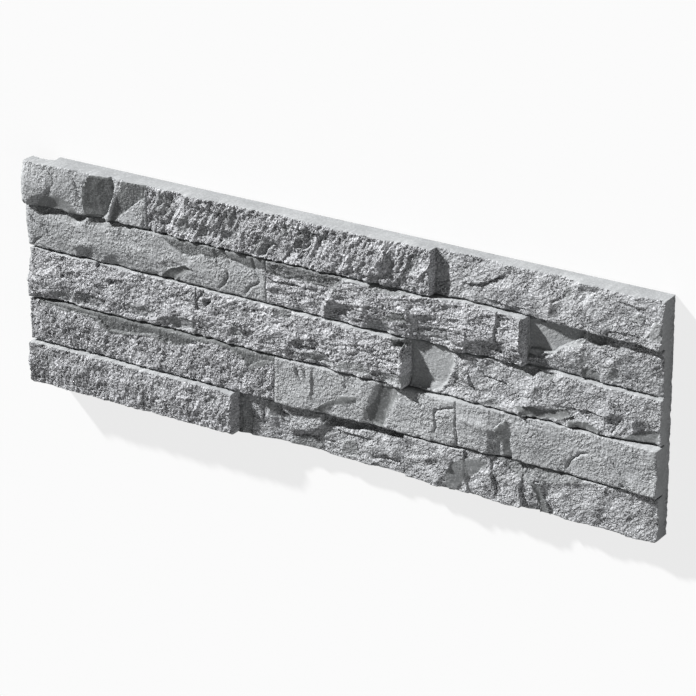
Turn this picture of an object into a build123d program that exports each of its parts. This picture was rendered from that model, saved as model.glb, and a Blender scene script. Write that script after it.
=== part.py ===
from build123d import *
from dataclasses import dataclass
from math import cos, radians, sin, sqrt
import os

# Cast stone-effect wall panel: a flat-backed slab whose face is moulded as courses of
# split-face ledger stones with narrow recessed joints between them.
# The panel lies on its back. X runs along the courses, Y runs up the wall, Z points out
# of the face, and the origin is the middle of the back. Lengths are in millimetres.

# Slab
panel_length = 375.0
slab_thickness = 6.0  # from the back to the floor of the joints
corner_radius = 1.5  # rounding of the outline's two lower corners
bite_length = 14.5  # piece broken out of the back edge at the top left corner
bite_depth = 7.6
bite_height = 10.0
bite_taper = 22.0  # degrees by which the bite closes towards its lower end

# Courses and joints
course_height = 25.0
joint_width = 1.2
joint_ease = 0.8  # worn rim of the stones' edges, as wide as it is deep

# Room for the cutting bodies past the stone that they shape
overcut = 2.0


@dataclass(frozen=True)
class Rib:
    """A line across a stone's face, from its lower edge to its upper edge.

    foot_at and brow_at place its two ends along the stone, from 0 at the left to 1 at the
    right. foot, belly and brow are the face's heights above the joint floor at the lower
    edge, at the stone's belly line and at the upper edge.
    """

    foot_at: float
    brow_at: float
    foot: float
    belly: float
    brow: float


@dataclass(frozen=True)
class Scoop:
    """A shell-shaped flake struck off one of a stone's long edges.

    at is its middle along the stone, from 0 to 1. length runs along the edge, reach is how
    far it comes into the face, and depth is how deep it is at the edge.
    """

    at: float
    length: float
    reach: float
    depth: float


@dataclass(frozen=True)
class Chip:
    """A flat flake struck out of a stone's face, with a leaning floor.

    outline has its corners: along the stone, from 0 to 1, and up it, from 0 at the lower edge
    to 1 at the upper. start is the floor's height above the joint floor where the chip
    begins, and it gets lower by slope towards fall, in degrees anticlockwise from X.
    """

    outline: tuple[tuple[float, float], ...]
    fall: float
    start: float
    slope: float


@dataclass(frozen=True)
class Stone:
    """One stone of a course.

    length is None for the last stone of a course, which takes what is left of the panel.
    belly_at is the height of the belly line, from 0 at the lower edge to 1 at the upper.
    """

    length: float | None
    belly_at: float
    ribs: tuple[Rib, ...]
    foot_scoops: tuple[Scoop, ...] = ()
    brow_scoops: tuple[Scoop, ...] = ()
    chips: tuple[Chip, ...] = ()


# The stones of each course, from the left
top_course = (
    # Smooth flaked
    Stone(77.5, 0.5, (
        Rib(0.00, 0.00, 10.4, 11.2, 8.4),
        Rib(0.16, 0.19, 9.2, 10.2, 7.8),
        Rib(0.20, 0.23, 8.4, 9.2, 7.4),
        Rib(0.40, 0.45, 6.8, 7.6, 7.0),
        Rib(0.46, 0.60, 6.3, 7.2, 7.0),
        Rib(0.50, 0.64, 4.4, 4.5, 4.4),
        Rib(0.64, 0.73, 4.8, 4.8, 4.4),
        Rib(0.67, 0.79, 6.0, 6.6, 6.1),
        Rib(0.75, 0.87, 4.7, 5.2, 5.0),
        Rib(0.88, 0.94, 5.2, 5.6, 5.0),
        Rib(1.00, 1.00, 5.4, 6.2, 5.6),
    ), foot_scoops=(
        Scoop(0.23, 27.0, 6.5, 3.0),
    )),
    # Long chiselled
    Stone(171.5, 0.5, (
        Rib(0.00, 0.00, 6.0, 7.0, 6.5),
        Rib(0.03, 0.07, 6.6, 7.4, 6.2),
        Rib(0.06, 0.11, 5.6, 5.6, 5.4),
        Rib(0.10, 0.15, 7.2, 8.6, 7.0),
        Rib(0.20, 0.26, 6.4, 7.4, 6.8),
        Rib(0.28, 0.34, 6.4, 5.9, 6.1),
        Rib(0.36, 0.42, 6.6, 8.6, 7.0),
        Rib(0.48, 0.54, 6.8, 7.4, 6.5),
        Rib(0.58, 0.62, 6.6, 6.6, 6.2),
        Rib(0.70, 0.75, 7.2, 9.0, 7.2),
        Rib(0.84, 0.88, 7.2, 8.6, 7.2),
        Rib(0.92, 0.94, 6.9, 7.4, 6.6),
        Rib(1.00, 1.00, 7.6, 8.0, 6.4),
    )),
    # Set-back undulating
    Stone(None, 0.5, (
        Rib(0.00, 0.00, 2.2, 1.9, 2.0),
        Rib(0.08, 0.16, 2.6, 3.2, 3.0),
        Rib(0.14, 0.28, 3.4, 4.4, 3.6),
        Rib(0.32, 0.38, 4.4, 5.0, 3.9),
        Rib(0.53, 0.50, 5.2, 6.2, 4.5),
        Rib(0.56, 0.55, 5.3, 5.0, 3.4),
        Rib(0.60, 0.61, 5.4, 4.7, 4.3),
        Rib(0.71, 0.69, 7.0, 7.3, 5.6),
        Rib(0.76, 0.77, 7.5, 6.6, 5.8),
        Rib(0.88, 0.93, 8.0, 7.6, 6.0),
        Rib(1.00, 1.00, 8.6, 7.4, 5.4),
    )),
)
second_course = (
    # Smooth undercut
    Stone(151.5, 0.4, (
        Rib(0.00, 0.00, 5.8, 6.8, 7.3),
        Rib(0.04, 0.02, 5.8, 6.8, 6.6),
        Rib(0.18, 0.18, 5.4, 6.8, 6.2),
        Rib(0.40, 0.40, 5.2, 6.6, 5.6),
        Rib(0.54, 0.54, 5.6, 6.8, 6.2),
        Rib(0.80, 0.83, 6.0, 7.0, 5.6),
        Rib(0.84, 0.86, 5.4, 6.4, 5.4),
        Rib(0.92, 0.95, 5.8, 6.6, 5.0),
        Rib(1.00, 1.00, 5.8, 6.2, 4.6),
    ), foot_scoops=(
        Scoop(0.24, 13.0, 6.0, 1.8),
        Scoop(0.37, 18.0, 4.5, 1.5),
        Scoop(0.62, 20.0, 9.0, 2.6),
    ), brow_scoops=(
        Scoop(0.11, 26.0, 6.5, 2.4),
        Scoop(0.20, 17.0, 5.5, 3.8),
        Scoop(0.30, 15.0, 4.5, 2.6),
        Scoop(0.40, 14.0, 3.0, 2.4),
        Scoop(0.68, 36.0, 7.5, 3.4),
        Scoop(0.93, 30.0, 7.0, 1.8),
    )),
    # Layered slate
    Stone(149.5, 0.45, (
        Rib(0.00, 0.00, 6.6, 7.2, 5.8),
        Rib(0.12, 0.12, 6.2, 6.8, 5.4),
        Rib(0.20, 0.27, 5.8, 6.4, 5.6),
        Rib(0.23, 0.30, 7.4, 9.4, 7.6),
        Rib(0.40, 0.40, 7.0, 9.0, 8.6),
        Rib(0.48, 0.48, 6.6, 7.4, 9.0),
        Rib(0.57, 0.54, 7.2, 9.6, 9.4),
        Rib(0.70, 0.72, 6.4, 8.4, 6.4),
        Rib(0.83, 0.86, 6.4, 8.6, 6.0),
        Rib(0.94, 0.95, 6.0, 7.6, 6.6),
        Rib(1.00, 1.00, 6.8, 8.0, 7.4),
    ), foot_scoops=(
        Scoop(0.29, 17.0, 8.0, 1.6),
        Scoop(0.46, 16.0, 5.0, 2.0),
        Scoop(0.66, 26.0, 9.0, 1.4),
        Scoop(0.88, 20.0, 6.0, 1.6),
    ), brow_scoops=(
        Scoop(0.48, 25.0, 3.6, 4.2),
    )),
    # Set-back ridged
    Stone(None, 0.5, (
        Rib(0.00, 0.00, 3.2, 3.0, 2.4),
        Rib(0.19, 0.22, 3.5, 3.8, 3.4),
        Rib(0.25, 0.42, 3.4, 4.4, 3.6),
        Rib(0.38, 0.45, 2.6, 3.6, 1.0),
        Rib(0.42, 0.53, 2.6, 3.1, 1.2),
        Rib(0.48, 0.58, 2.8, 3.3, 2.9),
        Rib(0.56, 0.76, 3.2, 4.6, 3.6),
        Rib(0.70, 0.86, 2.6, 3.8, 3.8),
        Rib(1.00, 1.00, 3.8, 4.0, 3.8),
    ), foot_scoops=(
        Scoop(0.10, 20.0, 8.0, 0.9),
    ), chips=(
        Chip(((-0.03, 1.1), (-0.03, 0.30), (0.08, 0.37), (0.19, 0.36), (0.22, 0.48), (0.30, 0.64),
              (0.40, 0.82), (0.42, 1.1)), 315.0, 2.2, 0.02),
    )),
)
middle_course = (
    # Pitted rough
    Stone(107.0, 0.32, (
        Rib(0.00, 0.00, 9.8, 11.2, 6.8),
        Rib(0.09, 0.09, 9.2, 10.6, 7.2),
        Rib(0.33, 0.33, 8.4, 9.6, 7.6),
        Rib(0.44, 0.48, 8.4, 9.2, 7.6),
        Rib(0.56, 0.56, 8.4, 9.0, 7.4),
        Rib(0.80, 0.80, 8.2, 8.8, 7.2),
        Rib(0.91, 0.95, 7.8, 8.6, 7.4),
        Rib(1.00, 1.00, 7.6, 8.2, 7.0),
    ), foot_scoops=(
        Scoop(0.25, 42.0, 6.0, 1.2),
        Scoop(0.91, 20.0, 6.0, 1.0),
    )),
    # Proud rough
    Stone(128.5, 0.45, (
        Rib(0.00, 0.00, 7.4, 8.0, 7.0),
        Rib(0.20, 0.20, 7.8, 8.4, 7.4),
        Rib(0.38, 0.42, 8.4, 9.0, 7.6),
        Rib(0.50, 0.52, 8.6, 9.4, 8.0),
        Rib(0.66, 0.66, 8.8, 9.4, 8.2),
        Rib(0.80, 0.80, 9.0, 10.0, 8.6),
        Rib(0.92, 0.92, 9.2, 10.4, 9.0),
        Rib(0.96, 0.95, 9.2, 10.4, 7.2),
        Rib(1.00, 1.00, 9.2, 10.2, 6.6),
    ), foot_scoops=(
        Scoop(0.58, 28.0, 5.5, 1.4),
        Scoop(0.90, 26.0, 4.5, 1.2),
    ), brow_scoops=(
        Scoop(0.43, 14.0, 5.0, 1.8),
    )),
    # Set-back cracked
    Stone(None, 0.5, (
        Rib(0.00, 0.00, 2.6, 2.2, 2.6),
        Rib(0.15, 0.14, 3.4, 3.6, 3.4),
        Rib(0.20, 0.23, 5.0, 4.8, 4.0),
        Rib(0.33, 0.30, 5.2, 4.8, 4.2),
        Rib(0.44, 0.48, 5.6, 5.6, 3.8),
        Rib(0.56, 0.56, 5.8, 5.8, 4.0),
        Rib(0.74, 0.62, 5.6, 5.0, 5.6),
        Rib(0.80, 0.84, 5.4, 5.8, 4.8),
        Rib(0.90, 0.93, 5.0, 5.2, 4.4),
        Rib(1.00, 1.00, 3.8, 4.8, 3.8),
    ), foot_scoops=(
        Scoop(0.35, 13.0, 4.0, 1.2),
        Scoop(0.555, 30.0, 7.5, 2.2),
        Scoop(0.715, 20.0, 4.5, 1.8),
        Scoop(0.96, 29.0, 9.0, 2.2),
    ), brow_scoops=(
        Scoop(0.485, 14.0, 4.5, 2.0),
        Scoop(0.575, 9.0, 3.0, 2.2),
    )),
)
fourth_course = (
    # Granular hollow-topped
    Stone(157.0, 0.62, (
        Rib(0.00, 0.00, 9.0, 10.0, 9.3),
        Rib(0.06, 0.06, 9.0, 9.6, 8.6),
        Rib(0.28, 0.28, 8.6, 8.8, 8.0),
        Rib(0.36, 0.36, 8.6, 8.2, 7.8),
        Rib(0.50, 0.50, 8.6, 8.8, 7.6),
        Rib(0.68, 0.68, 8.4, 8.8, 7.4),
        Rib(0.85, 0.85, 8.2, 8.6, 7.2),
        Rib(1.00, 1.00, 8.0, 8.4, 7.4),
    ), chips=(
        Chip(((0.03, 1.1), (0.06, 0.93), (0.18, 0.87), (0.28, 0.90), (0.33, 0.65), (0.43, 0.70),
              (0.52, 0.84), (0.60, 0.66), (0.69, 0.84), (0.76, 1.0), (0.76, 1.1)), 270.0, 8.6, 0.24),
        Chip(((0.76, 1.1), (0.76, 1.0), (0.85, 0.87), (0.90, 0.64), (0.95, 0.85), (1.03, 0.90),
              (1.03, 1.1)), 270.0, 8.4, 0.24),
    )),
    # Smooth dented
    Stone(107.0, 0.5, (
        Rib(0.00, 0.00, 9.0, 8.6, 8.0),
        Rib(0.11, 0.13, 9.0, 8.0, 8.0),
        Rib(0.20, 0.42, 8.2, 8.2, 8.0),
        Rib(0.25, 0.47, 7.0, 7.6, 7.8),
        Rib(0.47, 0.57, 7.2, 7.8, 8.0),
        Rib(0.51, 0.61, 5.8, 6.4, 6.4),
        Rib(0.60, 0.65, 6.0, 6.0, 5.6),
        Rib(0.66, 0.69, 7.2, 7.6, 7.2),
        Rib(0.86, 0.86, 7.6, 8.0, 7.6),
        Rib(1.00, 1.00, 7.6, 8.0, 7.4),
    ), chips=(
        Chip(((0.22, -0.1), (0.28, 0.27), (0.38, 0.48), (0.48, 0.60), (0.44, 0.42), (0.36, 0.24),
              (0.30, -0.1)), 320.0, 8.4, 0.08),
    )),
    # Smooth ridged
    Stone(None, 0.5, (
        Rib(0.00, 0.00, 8.4, 8.8, 7.6),
        Rib(0.15, 0.16, 8.6, 9.2, 7.6),
        Rib(0.20, 0.24, 5.8, 6.4, 6.8),
        Rib(0.30, 0.28, 7.2, 7.4, 7.0),
        Rib(0.55, 0.55, 7.6, 7.8, 7.0),
        Rib(0.84, 0.68, 8.4, 8.2, 7.2),
        Rib(1.00, 1.00, 9.4, 7.6, 8.2),
    )),
)
bottom_course = (
    # Proud granular
    Stone(132.0, 0.5, (
        Rib(0.00, 0.00, 12.0, 13.3, 12.7),
        Rib(0.08, 0.06, 11.0, 11.8, 12.0),
        Rib(0.20, 0.22, 11.8, 12.9, 12.2),
        Rib(0.34, 0.30, 11.4, 12.2, 11.8),
        Rib(0.50, 0.50, 11.8, 12.9, 11.8),
        Rib(0.76, 0.76, 11.6, 12.8, 11.6),
        Rib(0.88, 0.90, 11.2, 12.0, 11.2),
        Rib(1.00, 1.00, 11.4, 12.6, 11.4),
    )),
    # Broken set-back
    Stone(101.0, 0.5, (
        Rib(0.00, 0.00, 6.0, 5.0, 5.0),
        Rib(0.10, 0.03, 5.2, 4.4, 4.8),
        Rib(0.16, 0.08, 4.4, 5.6, 5.4),
        Rib(0.20, 0.17, 4.2, 5.4, 5.0),
        Rib(0.24, 0.21, 4.0, 4.4, 2.8),
        Rib(0.30, 0.27, 3.8, 4.8, 4.0),
        Rib(0.48, 0.46, 4.4, 4.8, 3.4),
        Rib(0.72, 0.72, 4.4, 5.4, 3.6),
        Rib(0.92, 0.92, 4.2, 5.2, 4.0),
        Rib(1.00, 1.00, 4.2, 5.0, 4.2),
    ), foot_scoops=(
        Scoop(0.40, 26.0, 8.0, 1.2),
        Scoop(0.90, 20.0, 6.0, 1.0),
    ), brow_scoops=(
        Scoop(0.62, 34.0, 6.0, 2.6),
        Scoop(0.88, 26.0, 5.0, 2.6),
    )),
    # Flaked corner
    Stone(None, 0.5, (
        Rib(0.00, 0.00, 7.6, 7.8, 7.0),
        Rib(0.13, 0.16, 7.8, 8.4, 7.4),
        Rib(0.17, 0.24, 7.0, 7.2, 7.0),
        Rib(0.25, 0.35, 6.4, 6.0, 6.6),
        Rib(0.31, 0.38, 6.8, 7.4, 6.4),
        Rib(0.50, 0.52, 7.0, 7.4, 6.4),
        Rib(0.54, 0.55, 5.2, 5.8, 5.6),
        Rib(0.60, 0.58, 5.2, 5.6, 5.2),
        Rib(0.64, 0.67, 5.4, 5.8, 4.8),
        Rib(0.80, 0.80, 5.2, 6.0, 5.0),
        Rib(1.00, 1.00, 4.4, 4.8, 6.0),
    ), brow_scoops=(
        Scoop(0.47, 22.0, 9.0, 3.2),
        Scoop(0.60, 20.0, 4.5, 2.4),
    )),
)
courses = (bottom_course, fourth_course, middle_course, second_course, top_course)

# How each bed joint between two courses wanders up and down along the panel: places along
# the length, from 0 to 1, and the rise there. The first bed joint is the lowest.
bed_joint_rises = (
    ((0.0, -1.2), (0.33, -1.4), (0.45, -2.2), (0.62, -1.6), (0.72, -0.6), (1.0, -0.8)),
    ((0.0, -1.5), (0.28, -1.2), (0.42, -1.0), (0.60, -0.6), (1.0, 0.4)),
    ((0.0, 0.8), (0.40, 0.9), (0.62, 0.3), (0.74, 0.0), (0.86, 0.9), (1.0, 0.0)),
    ((0.0, 0.3), (0.30, 0.4), (0.65, 0.2), (0.71, 1.9), (0.82, 0.9), (1.0, 0.4)),
)

panel_height = course_height * len(courses)
stone_root = slab_thickness / 2  # the stones' blocks start halfway through the slab
face_root = slab_thickness / 4  # the bodies that shape their faces start lower still


def joint_line(index: int, x: float) -> float:
    """Height of a bed joint's middle at x. Joints 0 and the last are the panel's edges."""
    level = course_height * index
    if index == 0 or index == len(courses):
        return level
    points = bed_joint_rises[index - 1]
    share = min(max(x / panel_length, 0.0), 1.0)
    for (start, low), (end, high) in zip(points, points[1:]):
        if share <= end:
            break
    return level + low + (high - low) * (share - start) / (end - start)


def lower_edge(course: int, x: float) -> float:
    """Lower edge of a course's stones at x."""
    gap = 0.0 if course == 0 else joint_width / 2
    return joint_line(course, x) + gap


def upper_edge(course: int, x: float) -> float:
    """Upper edge of a course's stones at x."""
    gap = 0.0 if course == len(courses) - 1 else joint_width / 2
    return joint_line(course + 1, x) - gap


def stone_ends(course: int) -> list[tuple[float, float]]:
    """Left and right end of each stone of a course, with the upright joints taken off."""
    ends = []
    left = 0.0
    for stone in courses[course]:
        right = panel_length if stone.length is None else left + stone.length
        start = left if left == 0.0 else left + joint_width / 2
        end = right if right == panel_length else right - joint_width / 2
        ends.append((start, end))
        left = right
    return ends


def stone_outline(course: int, left: float, right: float) -> Face:
    """Outline of a stone, with its long edges along the wandering bed joints."""
    lower = [left]
    upper = [left]
    for index, edge in ((course, lower), (course + 1, upper)):
        if 0 < index < len(courses):
            places = [share * panel_length for share, rise in bed_joint_rises[index - 1]]
            edge += [x for x in places if left + joint_width < x < right - joint_width]
        edge.append(right)
    points = [(x, lower_edge(course, x)) for x in lower]
    points += [(x, upper_edge(course, x)) for x in reversed(upper)]
    return make_face(Polyline(*points, close=True))


def rib_section(course: int, belly_at: float, foot_x: float, brow_x: float, rib: Rib,
                fall: float = 0.0) -> Face:
    """Upright section through a stone's face along a rib, lowered by fall.

    It stands past the stone's two long edges, and slopes down there for their worn rims.
    """
    low = lower_edge(course, foot_x)
    high = upper_edge(course, brow_x)
    base = slab_thickness - fall
    rim = joint_ease + overcut
    profile = (
        (low - overcut, face_root),
        (low - overcut, base + rib.foot - rim),
        (low + joint_ease, base + rib.foot),
        (low + (high - low) * belly_at, base + rib.belly),
        (high - joint_ease, base + rib.brow),
        (high + overcut, base + rib.brow - rim),
        (high + overcut, face_root),
    )
    lean = (brow_x - foot_x) / (high - low)
    points = [(foot_x + (y - low) * lean, y, z) for y, z in profile]
    return make_face(Polyline(*points, close=True))


def face_body(course: int, stone: Stone, left: float, right: float) -> Part:
    """Body under a stone's face: a ruled loft through its ribs, wider than the stone."""
    first = left + joint_ease
    span = right - left - 2 * joint_ease
    rim = joint_ease + overcut
    before = left - overcut
    past = right + overcut
    sections = [rib_section(course, stone.belly_at, before, before, stone.ribs[0], fall=rim)]
    for rib in stone.ribs:
        foot_x = first + span * rib.foot_at
        brow_x = first + span * rib.brow_at
        sections.append(rib_section(course, stone.belly_at, foot_x, brow_x, rib))
    sections.append(rib_section(course, stone.belly_at, past, past, stone.ribs[-1], fall=rim))
    return loft(sections, ruled=True)


def height_along(places: list[float], heights: list[float], at: float) -> float:
    """Height at a place along a stone's edge, between the ribs that end there."""
    stretches = list(zip(zip(places, heights), zip(places[1:], heights[1:])))
    for (start, low), (end, high) in stretches:
        if at <= end:
            break
    return low + (high - low) * (at - start) / (end - start)


def highest_point(stone: Stone) -> float:
    """Height of a stone's highest rib point above the joint floor."""
    return max(max(rib.foot, rib.belly, rib.brow) for rib in stone.ribs)


def scoop_cutter(scoop: Scoop, x: float, edge: float, face: float, inward: int) -> Part:
    """Ball that strikes a scoop off an edge. inward is 1 for a lower edge, -1 for an upper.

    The ball meets the face in a circle through the scoop's two ends and its innermost
    point, and the face edge in the middle of the scoop at the scoop's depth.
    """
    rim_radius = (scoop.length ** 2 / 4 + scoop.reach ** 2) / (2 * scoop.reach)
    offset = rim_radius - scoop.reach
    total = (rim_radius ** 2 - offset ** 2) / scoop.depth
    ball_radius = sqrt(offset ** 2 + ((total + scoop.depth) / 2) ** 2)
    lift = sqrt(ball_radius ** 2 - rim_radius ** 2)
    return Pos(x, edge - inward * offset, face + lift) * Sphere(ball_radius)


def chip_cutter(chip: Chip, course: int, left: float, right: float) -> Part:
    """Prism over a chip. Its underside is the chip's leaning floor."""
    corners = []
    for at, up in chip.outline:
        x = left + (right - left) * at
        low = lower_edge(course, x)
        corners.append((x, low + (upper_edge(course, x) - low) * up))
    east = cos(radians(chip.fall))
    north = sin(radians(chip.fall))
    first = min(x * east + y * north for x, y in corners)
    level = slab_thickness + chip.start
    floor = [(x, y, level - chip.slope * (x * east + y * north - first)) for x, y in corners]
    tallest = max(highest_point(stone) for stone in courses[course])
    return extrude(make_face(Polyline(*floor, close=True)), amount=tallest + overcut, dir=(0, 0, 1))


def stone_solid(course: int, stone: Stone, left: float, right: float) -> Part:
    """One stone: its block, rooted in the slab, cut down to its face, scoops and chips."""
    outline = Pos(0, 0, stone_root) * stone_outline(course, left, right)
    block = extrude(outline, amount=slab_thickness - stone_root + highest_point(stone) + overcut)
    solid = block & face_body(course, stone, left, right)
    feet = [rib.foot_at for rib in stone.ribs], [rib.foot for rib in stone.ribs]
    brows = [rib.brow_at for rib in stone.ribs], [rib.brow for rib in stone.ribs]
    for scoop in stone.foot_scoops:
        x = left + (right - left) * scoop.at
        face = slab_thickness + height_along(*feet, scoop.at)
        solid -= scoop_cutter(scoop, x, lower_edge(course, x), face, inward=1)
    for scoop in stone.brow_scoops:
        x = left + (right - left) * scoop.at
        face = slab_thickness + height_along(*brows, scoop.at)
        solid -= scoop_cutter(scoop, x, upper_edge(course, x), face, inward=-1)
    for chip in stone.chips:
        solid -= chip_cutter(chip, course, left, right)
    return solid


def slab() -> Part:
    """The flat back, up to the floor of the joints."""
    return Box(panel_length, panel_height, slab_thickness, align=(Align.MIN, Align.MIN, Align.MIN))


def rounded_outline() -> Part:
    """Column over the whole panel, with the two lower corners of its outline rounded."""
    face = Rectangle(panel_length, panel_height, align=(Align.MIN, Align.MIN))
    lower_corners = face.vertices().sort_by(Axis.Y)[:2]
    relief = max(highest_point(stone) for stones in courses for stone in stones)
    return extrude(fillet(lower_corners, corner_radius), amount=slab_thickness + relief + overcut)


def edge_bite() -> Part:
    """What is broken out of the back edge at the top left corner. It opens at the top."""
    rim = Polyline((-overcut, panel_height, -overcut),
                   (-overcut, panel_height, bite_depth * 0.7),
                   (bite_length * 0.5, panel_height, bite_depth),
                   (bite_length, panel_height, bite_depth * 0.8),
                   (bite_length * 0.94, panel_height, -overcut), close=True)
    return extrude(make_face(rim), amount=bite_height, dir=(0, -1, 0), taper=bite_taper)


def panel() -> Part:
    """The whole casting, moved so that the origin is the middle of its back."""
    body = slab()
    for course, stones in enumerate(courses):
        for stone, (left, right) in zip(stones, stone_ends(course)):
            body += stone_solid(course, stone, left, right)
    body = (body & rounded_outline()) - edge_bite()
    return Pos(-panel_length / 2, -panel_height / 2, 0) * body


os.makedirs("parts", exist_ok=True)
export_step(panel(), "parts/stone_panel.step")
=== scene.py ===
"""Looks of a faux stone wall panel: one grey cast concrete ledger panel, lying on its back.

The panel's face is five courses of split stones. Places on it are given in millimetres from
the lower left corner of its back: X along the courses, Y up the wall, Z out of the face.
Directions on it are degrees anticlockwise from X.
"""
import logging
import math
from dataclasses import dataclass
from enum import Enum

import bpy
import numpy as np
from mathutils import Matrix, Vector
from mathutils.bvhtree import BVHTree


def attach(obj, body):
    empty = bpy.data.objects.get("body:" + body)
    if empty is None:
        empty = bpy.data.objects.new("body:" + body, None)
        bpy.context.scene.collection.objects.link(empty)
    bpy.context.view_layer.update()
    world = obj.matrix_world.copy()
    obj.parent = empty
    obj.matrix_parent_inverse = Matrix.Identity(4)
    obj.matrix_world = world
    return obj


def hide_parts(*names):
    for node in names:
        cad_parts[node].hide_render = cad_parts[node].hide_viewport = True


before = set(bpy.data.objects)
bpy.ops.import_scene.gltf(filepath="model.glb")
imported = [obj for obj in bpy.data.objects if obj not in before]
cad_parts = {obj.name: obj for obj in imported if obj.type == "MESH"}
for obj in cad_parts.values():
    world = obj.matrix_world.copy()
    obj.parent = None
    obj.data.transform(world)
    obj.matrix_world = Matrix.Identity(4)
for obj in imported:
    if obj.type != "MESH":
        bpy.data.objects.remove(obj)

log = logging.getLogger("stone_panel")

MM = 0.001
LENGTH = 375.0
HEIGHT = 125.0
COURSES = 5
COURSE_HEIGHT = HEIGHT / COURSES
JOINT_FLOOR = 6.0
JOINT_WIDTH = 1.2
UPRIGHT_WIDTH = 0.5  # the upright joints are only fine shallow grooves
# How the bed joints wander: share of the length and rise, the lowest joint first
BED_JOINTS = (
    ((0.0, -1.2), (0.33, -1.4), (0.45, -2.2), (0.62, -1.6), (0.72, -0.6), (1.0, -0.8)),
    ((0.0, -1.5), (0.28, -1.2), (0.42, -1.0), (0.60, -0.6), (1.0, 0.4)),
    ((0.0, 0.8), (0.40, 0.9), (0.62, 0.3), (0.74, 0.0), (0.86, 0.9), (1.0, 0.0)),
    ((0.0, 0.3), (0.30, 0.4), (0.65, 0.2), (0.71, 1.9), (0.82, 0.9), (1.0, 0.4)),
)
# Where a mark at a height of MARK_PLANE is seen, a deeper one is seen shifted by these
# slopes, millimetre for millimetre, because the face is looked at from the side
MARK_PLANE = 12.0
SIGHT = (0.657, 0.515)

CORNER = (LENGTH / 2, HEIGHT / 2, 0.0)  # the back's lower left corner is this far from the origin

Array = np.ndarray
Points = tuple[tuple[float, float], ...]


class Noise:
    """Irregular patterns over a surface, the same at every run."""

    cells: int = 512  # before the tables repeat
    gain: float = 1.5  # brings the rolling pattern to about -1 to 1
    octave_shift: float = 37.7  # keeps the finer patterns off the larger ones' swells
    level_share: float = 0.45  # how far the hollows' depths differ, in cell sizes
    above_all: float = 9.0

    def __init__(self, seed: int) -> None:
        """Makes the tables.

        Args:
            seed: Any whole number. Each gives its own pattern.
        """
        rng = np.random.default_rng(seed)
        self.order = rng.permutation(self.cells)
        angles = rng.uniform(0.0, 2.0 * math.pi, self.cells)
        self.east, self.north = np.cos(angles), np.sin(angles)
        self.shares = rng.uniform(0.0, 1.0, (4, self.cells))

    def _cell(self, column: Array, row: Array) -> Array:
        """Number of the table entry that belongs to a cell of the grid."""
        start = self.order[column.astype(int) % self.cells]
        return self.order[(start + row.astype(int)) % self.cells]

    def smooth(self, x: Array, y: Array, size: float) -> Array:
        """Rolling pattern.

        Args:
            x: Places along the panel.
            y: Places up the panel.
            size: Distance between its swells.

        Returns:
            Values from about -1 to 1.
        """
        u, v = x / size, y / size
        column, row = np.floor(u), np.floor(v)
        fu, fv = u - column, v - row
        wu, wv = fu ** 3 * (fu * (fu * 6 - 15) + 10), fv ** 3 * (fv * (fv * 6 - 15) + 10)
        corners = []
        for dv in (0, 1):
            for du in (0, 1):
                cell = self._cell(column + du, row + dv)
                corners.append(self.east[cell] * (fu - du) + self.north[cell] * (fv - dv))
        low = corners[0] + wu * (corners[1] - corners[0])
        high = corners[2] + wu * (corners[3] - corners[2])
        return self.gain * (low + wv * (high - low))

    def rough(self, x: Array, y: Array, size: float, octaves: int = 3) -> Array:
        """Rolling pattern with finer ones on it, each half as large and as high.

        Args:
            x: Places along the panel.
            y: Places up the panel.
            size: Distance between the largest swells.
            octaves: How many patterns are added.

        Returns:
            Values from about -1.5 to 1.5.
        """
        total = np.zeros_like(x)
        for octave in range(octaves):
            share = 0.5 ** octave
            shift = self.octave_shift * octave
            total += share * self.smooth(x + shift, y - shift, size * share)
        return total

    def flaked(self, x: Array, y: Array, size: float, tilt: float = 0.7,
               bowl: float = 1.0) -> Array:
        """Shell-shaped hollows with sharp ridges between them, as split stone has.

        Args:
            x: Places along the panel.
            y: Places up the panel.
            size: Distance between the hollows.
            tilt: How steeply the hollows lean, 0 for level ones.
            bowl: How round the hollows are. Small values give planes that meet in ridges.

        Returns:
            Heights of about 0 to 1, in cell sizes.
        """
        u, v = x / size, y / size
        column, row = np.floor(u), np.floor(v)
        lowest = np.full_like(x, self.above_all)
        for dv in (-1, 0, 1):
            for du in (-1, 0, 1):
                cell = self._cell(column + du, row + dv)
                across = u - column - du - self.shares[0][cell]
                up = v - row - dv - self.shares[1][cell]
                lean = tilt * self.shares[2][cell]
                plane = lean * (self.east[cell] * across + self.north[cell] * up)
                level = self.level_share * self.shares[3][cell]
                lowest = np.minimum(lowest, level + plane + bowl * (across ** 2 + up ** 2))
        return lowest


def turned(x: Array, y: Array, degrees: float) -> tuple[Array, Array]:
    """Places seen along and across a direction.

    Args:
        x: Places along the panel.
        y: Places up the panel.
        degrees: The direction, anticlockwise from X.

    Returns:
        Places along the direction, and places across it.
    """
    c, s = math.cos(math.radians(degrees)), math.sin(math.radians(degrees))
    return x * c + y * s, y * c - x * s


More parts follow.
